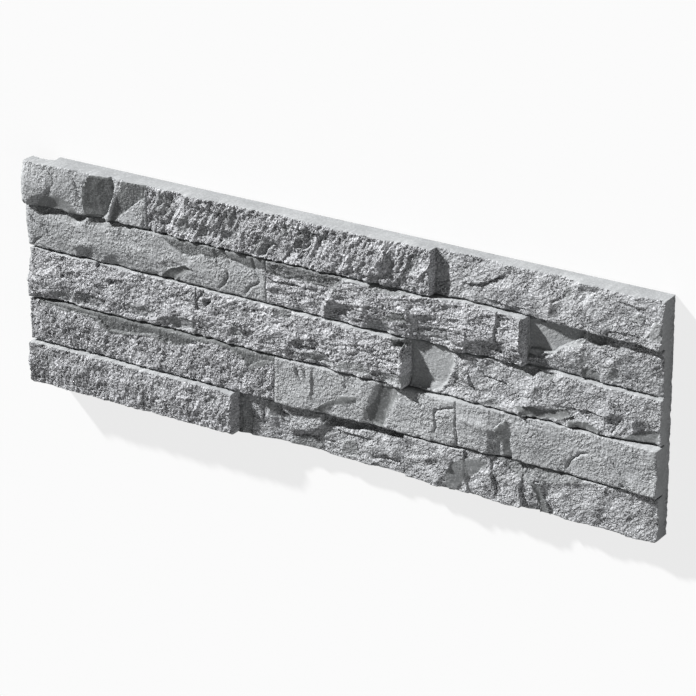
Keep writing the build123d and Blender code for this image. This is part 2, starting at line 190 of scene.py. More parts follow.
def distance_to(x: Array, y: Array, points: Points) -> tuple[Array, ...]:
    """Distance to a broken line.

    Args:
        x: Places along the panel.
        y: Places up the panel.
        points: The line's corners in order.

    Returns:
        The distance, the side, 1 for the left of the line and -1 for its right, and how far
        along the line the nearest point is, from 0 to 1.
    """
    lengths = [math.dist(a, b) for a, b in zip(points, points[1:])]
    nearest = np.full_like(x, np.inf)
    side = np.ones_like(x)
    along = np.zeros_like(x)
    passed = 0.0
    for (ax, ay), (bx, by), length in zip(points, points[1:], lengths):
        ux, uy = (bx - ax) / length, (by - ay) / length
        run = np.clip((x - ax) * ux + (y - ay) * uy, 0.0, length)
        dx, dy = x - ax - run * ux, y - ay - run * uy
        distance = np.hypot(dx, dy)
        closer = distance < nearest
        nearest = np.where(closer, distance, nearest)
        side = np.where(closer, np.where(ux * (y - ay) - uy * (x - ax) >= 0, 1.0, -1.0), side)
        along = np.where(closer, (passed + run) / sum(lengths), along)
        passed += length
    return nearest, side, along


def tapered(along: Array, rise: float, end: float, least: float = 0.0) -> Array:
    """Share of a mark that is left along its line, growing by rise from end at either end."""
    return np.clip(rise * np.minimum(along, 1.0 - along) + end, least, 1.0)


def inside(x: Array, y: Array, outline: Points) -> Array:
    """Whether places are inside a closed outline.

    Args:
        x: Places along the panel.
        y: Places up the panel.
        outline: Corners of the outline in order.

    Returns:
        True or False for each place.
    """
    within = np.zeros(x.shape, dtype=bool)
    for (ax, ay), (bx, by) in zip(outline, outline[1:] + outline[:1]):
        if ay != by:
            crosses = (ay > y) != (by > y)
            within ^= crosses & (x < (bx - ax) * (y - ay) / (by - ay) + ax)
    return within


def mesh_points(mesh: bpy.types.Mesh) -> Array:
    """Reads a mesh's points.

    Args:
        mesh: The mesh.

    Returns:
        Their places in metres, a row for each.
    """
    points = np.empty(3 * len(mesh.vertices), dtype=np.float32)
    mesh.vertices.foreach_get("co", points)
    return points.reshape(-1, 3).astype(float)


def place_points(mesh: bpy.types.Mesh, x: Array, y: Array, z: Array) -> None:
    """Moves a mesh's points.

    Args:
        mesh: The mesh.
        x: New places along the panel, in millimetres.
        y: New places up the panel.
        z: New heights above the back.
    """
    moved = np.column_stack((x - LENGTH / 2, y - HEIGHT / 2, z)) * MM
    mesh.vertices.foreach_set("co", moved.astype(np.float32).ravel())
    mesh.update()


@dataclass(frozen=True)
class Facet:
    """A flat chip in a stone's face.

    It gets deeper towards fall, from start where it begins to depth at its far side. wall is
    how steeply its sides come back up, polish is how much smoother it is than the face round
    it, and skin is how much darker colour it gets: painted shade, standing in for
    the shading of the dark facets.
    """

    outline: Points
    fall: float
    depth: float
    wall: float = 1.6
    polish: float = 0.5
    start: float = 0.0
    # share of painted shade: a darker colour that stands in for the facet's shading
    skin: float = 0.4

    def lowering(self, x: Array, y: Array) -> Array:
        """How far the facet lowers each place of the face.

        Args:
            x: Places along the panel.
            y: Places up the panel.

        Returns:
            Depths, nothing outside the facet.
        """
        along = turned(x, y, self.fall)[0]
        corners = [turned(a, b, self.fall)[0] for a, b in self.outline]
        share = (along - min(corners)) / (max(corners) - min(corners))
        floor = self.start + (self.depth - self.start) * np.clip(share, 0.0, 1.0)
        edge = distance_to(x, y, self.outline + self.outline[:1])[0]
        return np.where(inside(x, y, self.outline), np.minimum(floor, self.wall * edge), 0.0)


@dataclass(frozen=True)
class Plane:
    """A flat break at a height of its own, which cuts the stone's face and fills its hollows.

    level is its height above the back where it begins, and it gets lower by slope towards
    fall. polish and skin, the darker colour of painted shade, are a facet's.
    """

    outline: Points
    fall: float
    level: float
    slope: float
    polish: float = 0.7
    # share of painted shade: a darker colour that stands in for the break's shading
    skin: float = 0.8
    passes: int = 6

    def over(self, x: Array, y: Array) -> tuple[Array, Array]:
        """Finds the plane over places of the face.

        The outline is drawn where it is seen, so the place and the height are found together.

        Args:
            x: Places along the panel.
            y: Places up the panel.

        Returns:
            The plane's height over each place, and whether the place is on it.
        """
        first = min(turned(a, b, self.fall)[0] for a, b in self.outline)
        height = np.full_like(x, self.level)
        for _ in range(self.passes):
            seen_x = x - SIGHT[0] * (height - MARK_PLANE)
            seen_y = y - SIGHT[1] * (height - MARK_PLANE)
            height = self.level - self.slope * (turned(seen_x, seen_y, self.fall)[0] - first)
        return height, inside(seen_x, seen_y, self.outline)


@dataclass(frozen=True)
class Crack:
    """A crack or crease along a line, thinning out at its ends."""

    line: Points
    width: float
    depth: float

    def lowering(self, x: Array, y: Array) -> Array:
        """How far the crack lowers each place of the face.

        Args:
            x: Places along the panel.
            y: Places up the panel.

        Returns:
            Depths.
        """
        distance, _, along = distance_to(x, y, self.line)
        taper = tapered(along, rise=8.0, end=0.0, least=0.25)
        return self.depth * taper * np.clip(1.0 - 2.0 * distance / self.width, 0.0, 1.0)


@dataclass(frozen=True)
class Ledge:
    """A step along a line: the face on the line's right is lower, and comes back over a reach.

    A negative drop makes a ridge of the line, raised on that side only.
    """

    line: Points
    drop: float
    reach: float

    def lowering(self, x: Array, y: Array) -> Array:
        """How far the ledge lowers each place of the face.

        Args:
            x: Places along the panel.
            y: Places up the panel.

        Returns:
            Depths, nothing on the line's left.
        """
        distance, side, along = distance_to(x, y, self.line)
        taper = tapered(along, rise=6.0, end=0.1)
        fade = np.clip(1.0 - distance / self.reach, 0.0, 1.0)
        return np.where(side < 0, self.drop * taper * fade, 0.0)


@dataclass(frozen=True)
class Ridge:
    """A sharp ridge along a line, with a slope of its own width on each side."""

    line: Points
    height: float
    left: float
    right: float

    def lowering(self, x: Array, y: Array) -> Array:
        """How far the ridge lowers each place of the face: less than nothing.

        Args:
            x: Places along the panel.
            y: Places up the panel.

        Returns:
            Depths, all negative.
        """
        distance, side, along = distance_to(x, y, self.line)
        taper = tapered(along, rise=5.0, end=0.2)
        reach = np.where(side > 0, self.left, self.right)
        return -self.height * taper * np.clip(1.0 - distance / reach, 0.0, 1.0)


@dataclass(frozen=True)
class Pit:
    """A small round hole left by a bubble or a lost grain."""

    x: float
    y: float
    radius: float
    depth: float

    def lowering(self, x: Array, y: Array) -> Array:
        """How far the pit lowers each place of the face."""
        distance = np.hypot(x - self.x, y - self.y)
        return self.depth * np.sqrt(np.clip(1.0 - (distance / self.radius) ** 2, 0.0, 1.0))


Mark = Facet | Crack | Ledge | Ridge | Pit


@dataclass(frozen=True)
class Grain:
    """How rough a stone's face is. Heights are in millimetres.

    swell is rolling relief, and planes are flat breaks 15 mm across. flakes are shell-shaped
    hollows flake_size across, stretched by flake_stretch along flake_turn. lumps are rounded
    grains 2 mm across, and grit is grains under 1 mm. wander is how far the marks' lines
    stray from straight, and coarseness, from 0 to 1, is how strongly the material's own grain
    shows.
    """

    swell: float
    flakes: float
    lumps: float
    grit: float
    planes: float = 0.0
    flake_size: float = 6.0
    flake_stretch: float = 1.0
    flake_turn: float = 0.0
    wander: float = 0.5
    coarseness: float = 0.5


class Split(Enum):
    """How the stones' faces were split."""

    SMOOTH = Grain(0.30, 0.5, 0.25, 0.25, 0.8, 8.0, wander=0.5, coarseness=0.46)
    CHISELLED = Grain(0.35, 1.3, 0.7, 0.8, 2.0, 2.8, 2.2, 60.0, 0.8, 1.0)
    GRANULAR = Grain(0.40, 0.9, 0.6, 0.8, 1.1, 4.5, 1.8, 72.0, 0.8, 1.0)
    PITTED = Grain(0.50, 1.4, 0.6, 0.8, 1.4, 6.5, 1.8, 20.0, 0.8, 1.0)
    SLATY = Grain(0.30, 1.4, 0.8, 0.7, 1.4, 4.5, 3.4, 6.0, 0.7, 1.0)
    FINE = Grain(0.40, 1.0, 0.3, 0.4, 2.4, 7.0, 1.4, 30.0, 0.6, 0.75)


@dataclass(frozen=True)
class Stone:
    """One stone of the face, with its marks and flat breaks where they are seen."""

    name: str
    course: int
    left: float
    right: float
    split: Split
    marks: tuple[Mark, ...] = ()
    planes: tuple[Plane, ...] = ()


# Each facet's and break's skin darkens its colour: painted shade in place of its shading.
STONES = (
    Stone("top_left", 4, 0.0, 77.5, Split.SMOOTH, (
        Crack(((11.5, 122), (16, 119), (17.5, 116), (16, 112), (9, 105)), 1.2, 0.6),
        Facet(((3, 98), (9, 105), (18, 109), (27, 106), (34, 100), (34, 98)),
              290, 0.5, 1.6, 0.85, 0.0, 0.7),
        Crack(((28.5, 120.5), (31, 118), (32.5, 112), (34, 108)), 1.8, 0.8),
        Ridge(((3, 98.5), (30, 98.5), (77, 98.5)), 1.2, 7.0, 2.0),
    ), planes=(
        Plane(((35, 112), (40, 123), (46, 125), (52, 127), (57, 123), (59, 119), (54, 107), (48, 101),
              (38, 99), (35.5, 106)), 325, 14.6, 0.28, 0.8, 1.0),
        Plane(((62, 125), (69, 127), (77.5, 127), (77, 119), (64, 108.5), (53, 99), (56.5, 110)),
              304, 12.9, 0.19, 0.4, 0.9),
    )),
    Stone("top_middle", 4, 77.5, 249.0, Split.CHISELLED, (
        Facet(((80, 112), (86, 123), (95, 122), (92, 112), (84, 107)), 330, 1.8, polish=0.3),
        Facet(((96, 104), (98, 111), (103, 114), (105, 109), (102, 103)), 330, 2.0, polish=0.4),
        Facet(((109, 104), (112, 113), (116, 110), (114, 103)), 330, 1.6, polish=0.3),
        Facet(((122, 102), (124, 112), (127, 122), (133, 124), (137, 114), (133, 105)),
              320, 2.8, polish=0.3),
        Facet(((143, 101), (145, 108), (152, 111), (157, 109), (151, 101)), 320, 2.0, polish=0.3),
        Facet(((159, 113), (162, 122), (166, 121), (164, 113)), 320, 1.6, polish=0.3),
        Facet(((167, 108), (171, 120), (177, 123), (181, 119), (176, 109)), 320, 2.2, polish=0.3),
        Facet(((183, 116), (185, 123), (190, 122), (187, 115)), 320, 1.4, polish=0.3),
        Facet(((233, 111), (237, 121), (242, 121), (240, 110)), 320, 1.8, polish=0.3),
        Ridge(((78, 100), (140, 100), (200, 99.5)), 1.4, 7.0, 2.0),
    )),
    Stone("top_right", 4, 249.0, LENGTH, Split.FINE, (
        Ledge(((265, 111.5), (275, 113), (283, 116.5), (290, 121.5)), 1.6, 7.0),
        Ridge(((313, 125), (308, 118), (312, 110), (316, 104)), 1.2, 5.0, 4.0),
        Ledge(((343, 124), (337, 121), (333, 117), (333, 111), (337, 103), (340, 101)), 1.2, 6.0),
        Facet(((357, 112), (361, 116.5), (366, 115), (363, 111)), 300, 1.1),
        Facet(((366, 105), (370, 114), (375, 113), (373, 104)), 300, 1.1),
        Facet(((321, 115), (323, 123), (327, 122), (326, 116)), 320, 1.8),
        Crack(((321, 115), (315, 112)), 1.8, 0.9),
    )),
    Stone("second_left", 3, 0.0, 151.5, Split.SMOOTH, (
        # Painted shade: the whole stone's colour a little darker, its shape unchanged
        Facet(((-6, 108), (160, 108), (160, 70), (-6, 70)), 90, 0.0, polish=0.0, skin=0.12),
        Facet(((3, 102), (4, 98.5), (9, 95.5), (14, 97), (20, 95.5), (27, 94), (35, 98), (35, 102)),
              90, 1.4, 1.6, 0.2, 0.6, 0.5),
        Facet(((40, 102), (40.5, 97.5), (48, 94.5), (51, 95.5), (57, 98), (61.5, 95.5), (66, 98),
              (74, 102)), 90, 1.4, 1.6, 0.2, 0.6, 0.5),
        Facet(((84, 75), (88, 80.5), (93, 83.5), (99, 85.5), (106, 84.5), (99, 81), (92.5, 75)),
              300, 1.9, 1.2, 0.9, 0.3, 1.0),
        Facet(((52.5, 78), (57.5, 80), (65, 80.5), (61, 78), (54, 77)), 290, 0.5, 1.2, 0.9, 0.0, 0.6),
        Ridge(((26, 83), (34, 83.5), (42, 84)), 0.9, 4.0, 3.5),
        Crack(((0, 94), (4.5, 89)), 1.8, 1.2),
        Crack(((8, 91), (11, 88), (12.5, 83)), 1.8, 1.0),
        Crack(((0.5, 77), (4, 81), (8, 83)), 1.8, 1.0),
        Facet(((74, 76), (77, 79.5), (82, 79.5), (83, 76)), 285, 1.2),
        Crack(((115, 94.5), (118.5, 90.5)), 1.8, 0.9),
        Crack(((128, 94.5), (129, 91.5)), 1.6, 0.8),
        Crack(((127, 90), (128, 85), (125, 81), (122, 77.5)), 2.0, 1.0),
        Crack(((143.5, 100), (145, 91), (147.5, 86.5), (144, 84), (141, 82.5), (138, 77.5)), 1.6, 1.1),
    ), planes=(
        Plane(((82, 74), (83, 84), (94, 86.5), (106, 85), (108, 74)), 270, 12.4, 0.09, 0.0, 0.0),
        Plane(((84, 103), (87, 99), (93, 95), (99, 92.5), (105, 92), (112, 95), (118, 93.5), (128, 96.5),
              (128, 103)), 270, 13.6, 0.26, 0.2, 0.8),
        Plane(((128, 103), (128, 96.5), (136, 95), (144, 93.5), (152, 94), (152, 103)),
              270, 13.4, 0.28, 0.7, 0.8),
    )),
    Stone("second_middle", 3, 151.5, 301.0, Split.SLATY, (
        Ridge(((196, 97), (192, 91), (188, 84), (185, 80)), 2.0, 6.0, 1.8),
        Facet(((212, 102), (212.5, 95.5), (218, 96), (227, 96), (233, 97.5), (234, 102)),
              90, 3.0, skin=0.7),
        Facet(((220, 82), (225.5, 87.5), (231.5, 88), (235, 83.5), (227, 82.5)),
              320, 1.8, polish=0.7, skin=1.0),
        Ridge(((233, 90), (236, 84), (236, 78)), 0.9, 3.0, 1.5),
        Facet(((211, 76.5), (216, 81.5), (224, 81), (229, 76.5)), 300, 0.8),
        Facet(((238, 79), (246, 86), (258, 85), (263, 79)), 310, 1.0, polish=0.2),
        Ridge(((298.5, 82), (298.5, 90), (298.5, 102)), 1.8, 6.0, 1.0),
    ), planes=(
        Plane(((151, 103), (152, 93.5), (163, 92), (174, 93), (186, 92.5), (194, 93), (197, 98),
              (197, 103)), 270, 13.9, 0.24, 0.4, 0.9),
    )),
    Stone("second_right", 3, 301.0, LENGTH, Split.FINE, (
        # Painted shade: the whole stone's colour a little darker, its shape unchanged
        Facet(((295, 108), (381, 108), (381, 70), (295, 70)), 90, 0.0, polish=0.0, skin=0.12),
        Facet(((299, 102), (299, 81), (303.5, 81.5), (318, 86.5), (320, 88.5), (329, 92.5), (335, 97),
              (335, 102)), 315, 1.6, 2.2, 0.8, 1.5, 0.3),
        Crack(((301, 81.5), (311, 83.5), (319, 87)), 1.8, 1.6),
        Ridge(((319, 87), (329, 91), (335, 95.5)), 0.5, 0.6, 2.5),
        Facet(((334, 103), (336, 98), (342.5, 94), (346.5, 97), (346, 103)), 330, 2.4, skin=0.8),
        Facet(((334, 82.5), (341.5, 83), (343, 80), (343, 77), (334, 77)), 320, 1.2, polish=0.8, skin=0.8),
        Ridge(((344.5, 86), (349, 91), (355.5, 95.5), (360, 96.5)), 0.9, 1.2, 5.0),
        Facet(((346, 80), (348, 86), (353, 86), (354, 80)), 330, 1.0, skin=0.5),
    )),
    Stone("middle_left", 2, 0.0, 107.0, Split.PITTED, (
        Facet(((-6, 82), (113, 82), (113, 45), (-6, 45)), 90, 1.9, polish=0.0, skin=0.0),
        Facet(((9, 52), (20, 54.5), (30, 56.5), (43, 56), (50, 54), (45, 49), (20, 49)),
              285, 1.6, polish=0.3),
        Facet(((60, 55), (66, 58.5), (75, 57), (80, 53), (72, 50)), 290, 1.3, polish=0.3),
        Facet(((87, 53), (97, 57), (107, 55.5), (106, 51), (93, 49)), 290, 1.8),
        Pit(43, 73, 2.0, 1.9),
        Pit(52, 66, 2.3, 2.2),
        Pit(21, 63, 2.6, 1.6),
        Pit(18.5, 66, 1.6, 1.2),
    )),
    Stone("middle_middle", 2, 107.0, 235.5, Split.PITTED, (
        Crack(((113, 74.5), (110, 71), (107, 68), (107.5, 62)), 1.8, 1.6),
        Pit(114.5, 68, 2.6, 2.2),
        Facet(((129, 53), (130, 60), (134, 61), (136, 54)), 320, 1.8),
        Crack(((140, 68), (148, 71), (158, 69), (168, 71)), 1.8, 0.9),
        Facet(((155, 70.5), (159, 75), (166, 74.5), (169, 71), (162, 69.5)), 300, 1.6),
        Facet(((169, 50), (174, 55), (183, 57), (193, 51)), 290, 1.9),
        Facet(((191, 50), (198, 55), (208, 55.5), (216, 50)), 290, 1.6),
        Facet(((216, 50), (222, 54.5), (234, 55), (236, 50)), 290, 1.4),
        Crack(((207, 62), (218, 60.5), (232, 61)), 2.2, 1.0),
        Facet(((226, 76), (227, 70.5), (231, 69), (236, 71), (236, 76)), 330, 2.6, skin=0.8),
        Pit(230.5, 71.5, 3.0, 3.2),
        Ridge(((233, 44), (233, 62), (233, 80)), 2.6, 9.0, 1.0),
    ), planes=(
        Plane(((159, 68), (159, 58), (166, 54.5), (173, 56), (183, 58), (191, 56.5), (192, 68)),
              270, 15.2, 0.03, 0.0, 0.0),
    )),
    Stone("middle_right", 2, 235.5, LENGTH, Split.FINE, (
        Facet(((233, 77), (262, 77), (263, 68), (260, 60), (256.5, 54), (255, 52.5), (233, 52)),
              320, 1.3, 1.4, 0.75, 0.0, 0.2),
        Ridge(((210, 50.5), (316, 50.5), (340, 51), (400, 51)), 2.6, 6.0, 2.0),
        Ridge(((262, 76), (280, 76), (300, 76)), 1.2, 3.0, 9.0),
        Ridge(((256.5, 53), (260, 60), (263, 68)), 0.6, 0.6, 4.0),
        Facet(((263.5, 66), (266.5, 68), (265.5, 60.5), (261, 56)), 300, 1.0, skin=0.5),
        Ledge(((275, 70), (280, 65), (290, 64.5), (294, 61)), 1.0, 4.0),
        Crack(((275, 70), (280, 65), (290, 64.5), (294, 61)), 1.2, 1.0),
        Facet(((296, 76), (299, 71.5), (306, 71), (311, 76)), 90, 0.8, skin=0.7),
        Facet(((309, 76), (311, 72.5), (317, 72.5), (319, 76)), 90, 1.4, skin=0.7),
        Ledge(((316, 72), (321, 68), (325, 63.5), (331, 59)), 1.6, 6.0),
        Crack(((316, 72), (321, 68), (325, 63.5), (331, 59)), 1.4, 1.2),
        Facet(((277, 51), (281, 55.5), (287, 55), (291, 51)), 300, 1.6),
        Facet(((297.5, 54.5), (305.5, 56.5), (313.5, 56), (324.5, 59), (328, 55.5), (322, 53), (311, 51.5),
              (301, 51)), 290, 1.2, 1.6, 0.9, 0.2, 0.9),
        Facet(((325.5, 53.5), (335.5, 55.5), (344.5, 53), (342, 49), (330, 49)),
              290, 0.8, 1.6, 0.9, 0.2, 0.9),
        Crack(((350, 52), (352, 57), (355, 62)), 2.0, 1.0),
        Facet(((356.5, 52), (362.5, 56), (370, 59), (375, 59), (375, 48), (358, 48)),
              290, 1.0, 1.6, 0.9, 0.2, 0.9),
    )),
    Stone("fourth_left", 1, 0.0, 157.0, Split.GRANULAR, (
        Facet(((3, 52), (5, 45), (10, 44), (20, 43.5), (40, 43.5), (46, 39), (52, 37.5), (60, 38.5),
              (70, 40.5), (90, 40), (95, 39), (105, 44), (117, 47), (117, 52)),
              270, 0.0, 1.6, 0.7, 0.0, 1.0),
        Facet(((117, 52), (117, 47), (131, 44), (140, 37), (149, 41), (157, 44), (157, 52)),
              270, 0.0, 1.6, 0.7, 0.0, 1.0),
        Pit(48.5, 31.5, 1.8, 1.4),
        Pit(16, 33, 1.2, 1.2),
        Pit(70, 36, 1.2, 1.2),
    )),
    Stone("fourth_middle", 1, 157.0, 264.0, Split.SMOOTH, (
        Crack(((169, 45), (170, 40), (172, 35)), 2.2, 1.2),
        Crack(((173, 45), (177, 36)), 1.8, 0.9),
        Crack(((196, 43.5), (199, 40.5)), 1.8, 0.9),
        Facet(((219, 46.5), (227, 47.5), (230.5, 43.5), (225, 36), (221, 24), (213, 25), (211, 31),
              (218, 41)), 325, 2.0, 1.6, 0.8, 0.0, 0.9),
        Facet(((179, 24), (187, 30), (196, 35), (207, 37.5), (202, 33), (191, 29), (186, 24)),
              300, 0.3, 1.2, 0.9, 0.0, 1.0),
        Pit(220.5, 47, 1.2, 1.3),
        Crack(((263, 45), (252, 41), (250.5, 38), (252, 32), (250.5, 27.5)), 1.7, 1.2),
    )),
    Stone("fourth_right", 1, 264.0, LENGTH, Split.SMOOTH, (
        Facet(((260, 56), (380, 56), (380, 18), (260, 18)), 270, 1.9, polish=0.0, skin=0.0),
        Ridge(((265, 40), (277, 38), (288, 38)), 0.9, 2.5, 3.0),
        Crack(((324, 26), (327, 32), (332, 37), (338, 38.5)), 1.6, 1.1),
        Ridge(((333, 51), (339, 47.5), (344, 42), (352, 34), (357, 26)), 0.7, 0.8, 5.0),
        Pit(355, 25, 1.2, 1.4),
        Crack(((305, 50), (308, 49), (310, 47)), 1.8, 0.9),
    ), planes=(
        Plane(((285, 39), (291, 45), (294.5, 39.5), (294, 34.5), (297, 21), (291.5, 21), (289.5, 30),
              (286.5, 35)), 325, 14.2, 0.20, 0.85, 0.9),
    )),
    Stone("bottom_left", 0, 0.0, 132.0, Split.GRANULAR, (
        Pit(3.5, 19.0, 0.9, 1.4),
        Pit(0.8, 0.5, 0.8, 1.2),
        Pit(100, 20, 0.9, 1.2),
        Facet(((3, 6), (5, 16), (10, 17), (12, 8)), 320, 1.2, polish=0.2),
        Facet(((38, 12), (40, 16.5), (44, 15), (43, 11)), 320, 1.1, polish=0.2),
        Facet(((78, 13), (80, 17), (84, 16), (83, 13)), 320, 0.9, polish=0.2),
        Facet(((112, 12), (114, 17), (120, 16), (118, 11)), 320, 1.1, polish=0.2),
    )),
    Stone("bottom_middle", 0, 132.0, 233.0, Split.FINE, (
        Facet(((133, 0), (133, 21), (139, 21), (142, 9), (141, 0)), 330, 1.0),
        Crack(((138, 20), (143, 13), (148, 8), (147, 20)), 1.8, 1.2),
        Facet(((150, 13), (152, 22), (160, 21), (158, 13)), 320, 1.4),
        Ridge(((163, 8), (174, 11), (184, 15)), 1.5, 8.0, 3.0),
        Facet(((182, 25), (185, 16), (194, 17), (202, 18), (213, 20.5), (221, 19), (233, 20.5), (236, 25)),
              90, 3.8, 2.2, 0.0),
        Facet(((163, 1), (170, 7), (178, 8), (184, 5), (180, 0)), 300, 0.7, skin=0.5),
        Facet(((194, 2), (197, 11), (203, 12.5), (207, 3)), 320, 1.6),
        Crack(((184, 9), (191, 7)), 1.8, 0.8),
        Crack(((212, 5), (222, 7), (232, 7)), 2.2, 1.0),
    ), planes=(
        Plane(((146, 25), (158, 19), (166, 14), (174, 11), (184, 15), (187, 19), (188, 26), (146, 26)),
              270, 12.8, 0.10, 0.2, 0.0),
    )),
    Stone("bottom_right", 0, 233.0, LENGTH, Split.FINE, (
        Ridge(((234, 9.5), (243, 12.5), (250, 15.5), (255.5, 19.5), (259, 22.5)), 1.2, 0.9, 4.0),
        Facet(((283, 26), (289, 21.5), (297, 18.5), (300.5, 15.5), (306, 15.5), (316, 18), (336, 22.5),
              (336, 26)), 90, 0.8, 0.8, 0.3, 0.0, 0.7),
        Ridge(((307, 14.5), (320, 19), (335, 23.5)), 1.0, 4.0, 5.0),
        Ridge(((296, 24.5), (330, 25), (400, 25)), 1.0, 3.0, 6.0),
        Facet(((289, 21.5), (297, 18.5), (300.5, 15.5), (306, 13.5), (309.5, 7), (312, -1), (317.5, -1),
              (313, 9), (311, 15), (303, 16.5), (296, 20)), 320, 1.2, 1.8, 0.8, 0.3, 0.8),
    ), planes=(
        Plane(((257.5, 7), (262, 16), (271, 20), (281, 20.5), (282, 18), (273.5, 11), (265.5, 3), (261, -2),
              (257.5, 3)), 325, 13.5, 0.14, 0.85, 0.6),
    )),
)


class PanelFace:
    """Height of the panel's face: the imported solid's stones, with their relief and marks."""

    clear: float = 1.4  # how far inside a stone the solid's height is read
    above: float = 60.0  # where the rays that read it start
    seed: int = 11  # of the joints and the stones' edges
    stone_seeds: tuple[int, int, int] = (7, 1000, 3)  # for each millimetre, each course, and added
    near: float = 0.004  # how near a line counts as on it
    edge_break: float = 0.30  # how ragged the stones' long edges are
    edge_break_size: float = 5.0
    edge_rise: float = 0.35  # most that a break brings an upper edge nearer to the joint
    lower_lane: float = 91.0  # between the courses' patterns of breaks, at the lower edges
    upper_lane: float = 57.0  # and at the upper ones
    upper_lanes_from: float = 400.0
    least_rise: float = 0.3  # of a stone over the joints' floor
    upright_depth: float = 0.7  # of the fine grooves between neighbours in a course
    joint_end: float = 8.0  # where the two upper bed joints run out at the right end
    joint_end_rise: float = 3.0
    joint_end_from: float = 2.5 * COURSE_HEIGHT
    joint_grit: float = 0.25
    joint_grit_size: float = 2.5
    bend: float = 1.2  # of the flakes' rows
    bend_size: float = 13.0
    swell_size: float = 9.0
    plane_size: float = 15.0
    plane_tilt: float = 1.3
    plane_bowl: float = 0.45
    plane_mean: float = 0.3  # the same for the flat breaks
    hollow_mean: float = 0.35  # of the hollows' pattern, taken off it
    small_size: float = 0.42  # of the smaller flakes, as a share of the larger ones'
    small_share: float = 0.35  # of the larger ones' height
    lump_size: float = 2.1
    grit_size: float = 0.95
    stray_size: float = 4.0  # of the swells by which the marks' lines stray
    stray_lane: float = 77.0  # between the patterns of straying along and up
    ease: float = 0.35  # least rounding of the stones' arrises
    wear: float = 0.45  # more rounding here and there
    wear_size: float = 3.1
    chip: float = 3.0  # width of the larger chips
    chip_size: float = 8.0
    chip_level: float = 0.45  # how rare they are
    widest_chip: float = 4.0
    rim_slope: float = 0.9
    lane: float = 10.0  # between the courses' patterns of wear
    side_shift: float = 300.0  # and between those of a stone's four sides
    wall_coarseness: float = 0.08  # of the joints and the stones' smooth walls
    wall_rim: float = 0.05  # how near its edge a stone's face counts as wall
    grain_reach: float = 0.1  # how far past its edges a stone's grain goes

    def __init__(self, solid: bpy.types.Object) -> None:
        """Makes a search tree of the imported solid.

        Args:
            solid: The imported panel, whose heights the face follows.
        """
        points = mesh_points(solid.data) / MM + CORNER
        faces = [tuple(face.vertices) for face in solid.data.polygons]
        self.tree = BVHTree.FromPolygons(points.tolist(), faces)
        self.edges = Noise(self.seed)

    def joint_line(self, joint: int, x: Array) -> Array:
        """Finds the middle of a bed joint.

        Args:
            joint: Its number from the bottom. 0 and the last are the panel's own edges.
            x: Places along the panel.

        Returns:
            Its heights up the panel.
        """
        level = COURSE_HEIGHT * joint
        if joint in (0, COURSES):
            return np.full_like(x, level)
        places, rises = zip(*BED_JOINTS[joint - 1])
        return level + np.interp(x / LENGTH, places, rises)

    def ragged(self, x: Array, lane: float) -> Array:
        """Small breaks along a long edge. Each lane has its own."""
        return self.edge_break * self.edges.rough(x, np.full_like(x, lane), self.edge_break_size)

    def edge_lines(self, course: int, x: Array) -> tuple[Array, Array]:
        """Finds the lower and the upper edge of a course's stones, with their small breaks.

        Args:
            course: Its number from the bottom.
            x: Places along the panel.

        Returns:
            The heights of both edges up the panel.
        """
        low, high = self.joint_line(course, x), self.joint_line(course + 1, x)
        if course > 0:
            low = low + JOINT_WIDTH / 2 + self.ragged(x, self.lower_lane * course)
        if course < COURSES - 1:
            ragged = self.ragged(x, self.upper_lane * course + self.upper_lanes_from)
            high = high - JOINT_WIDTH / 2 - np.maximum(ragged, -self.edge_rise)
        return low, high

    def ends(self, stone: Stone) -> tuple[float, float]:
        """Finds the ends of a stone, with the upright joints taken off.

        Args:
            stone: The stone.

        Returns:
            Its left and its right end.
        """
        half = UPRIGHT_WIDTH / 2
        return (stone.left + (half if stone.left > 0 else 0.0),
                stone.right - (half if stone.right < LENGTH else 0.0))

    def solid_height(self, x: Array, y: Array) -> Array:
        """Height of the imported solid's face at each place.

        Args:
            x: Places along the panel.
            y: Places up the panel.

        Returns:
            Heights above the back. Places off the solid get the joint floor's.
        """
        down = Vector((0.0, 0.0, -1.0))
        heights = [self.tree.ray_cast(Vector((a, b, self.above)), down)[0] for a, b in zip(x, y)]
        return np.array([JOINT_FLOOR if hit is None else hit.z for hit in heights])

    def base_height(self, stone: Stone, x: Array, y: Array) -> Array:
        """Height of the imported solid's stone at or nearest to each place.

        Args:
            stone: The stone.
            x: Places along the panel.
            y: Places up the panel.

        Returns:
            Heights above the back.
        """
        left, right = self.ends(stone)
        low, high = self.joint_line(stone.course, x), self.joint_line(stone.course + 1, x)
        return self.solid_height(np.clip(x, left + self.clear, right - self.clear),
                                 np.clip(y, low + self.clear, high - self.clear))

    def noise_of(self, stone: Stone) -> Noise:
        """The stone's own noise."""
        place, course, first = self.stone_seeds
        return Noise(int(place * stone.left) + course * stone.course + first)

    def strayed(self, stone: Stone, x: Array, y: Array) -> tuple[Array, Array]:
        """Places moved a little, so that the marks' lines stray from straight."""
        noise, wander, size = self.noise_of(stone), stone.split.value.wander, self.stray_size
        return x + wander * noise.rough(x, y, size), y + wander * noise.rough(x, y + self.stray_lane, size)

    def ground(self, stone: Stone, x: Array, y: Array) -> Array:
        """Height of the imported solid's stone with its flat breaks.

        Args:
            stone: The stone.
            x: Places along the panel.
            y: Places up the panel.

        Returns:
            Heights above the back.
        """
        height = self.base_height(stone, x, y)
        for plane in stone.planes:
            level, on = plane.over(*self.strayed(stone, x, y))
            height = np.where(on, level, height)
        return height

    def seen(self, stone: Stone, x: Array, y: Array, ground: Array) -> tuple[Array, Array]:
        """Where places of the face are among the marks, which are drawn as they are seen."""
        strayed_x, strayed_y = self.strayed(stone, x, y)
        return strayed_x - SIGHT[0] * (ground - MARK_PLANE), strayed_y - SIGHT[1] * (ground - MARK_PLANE)

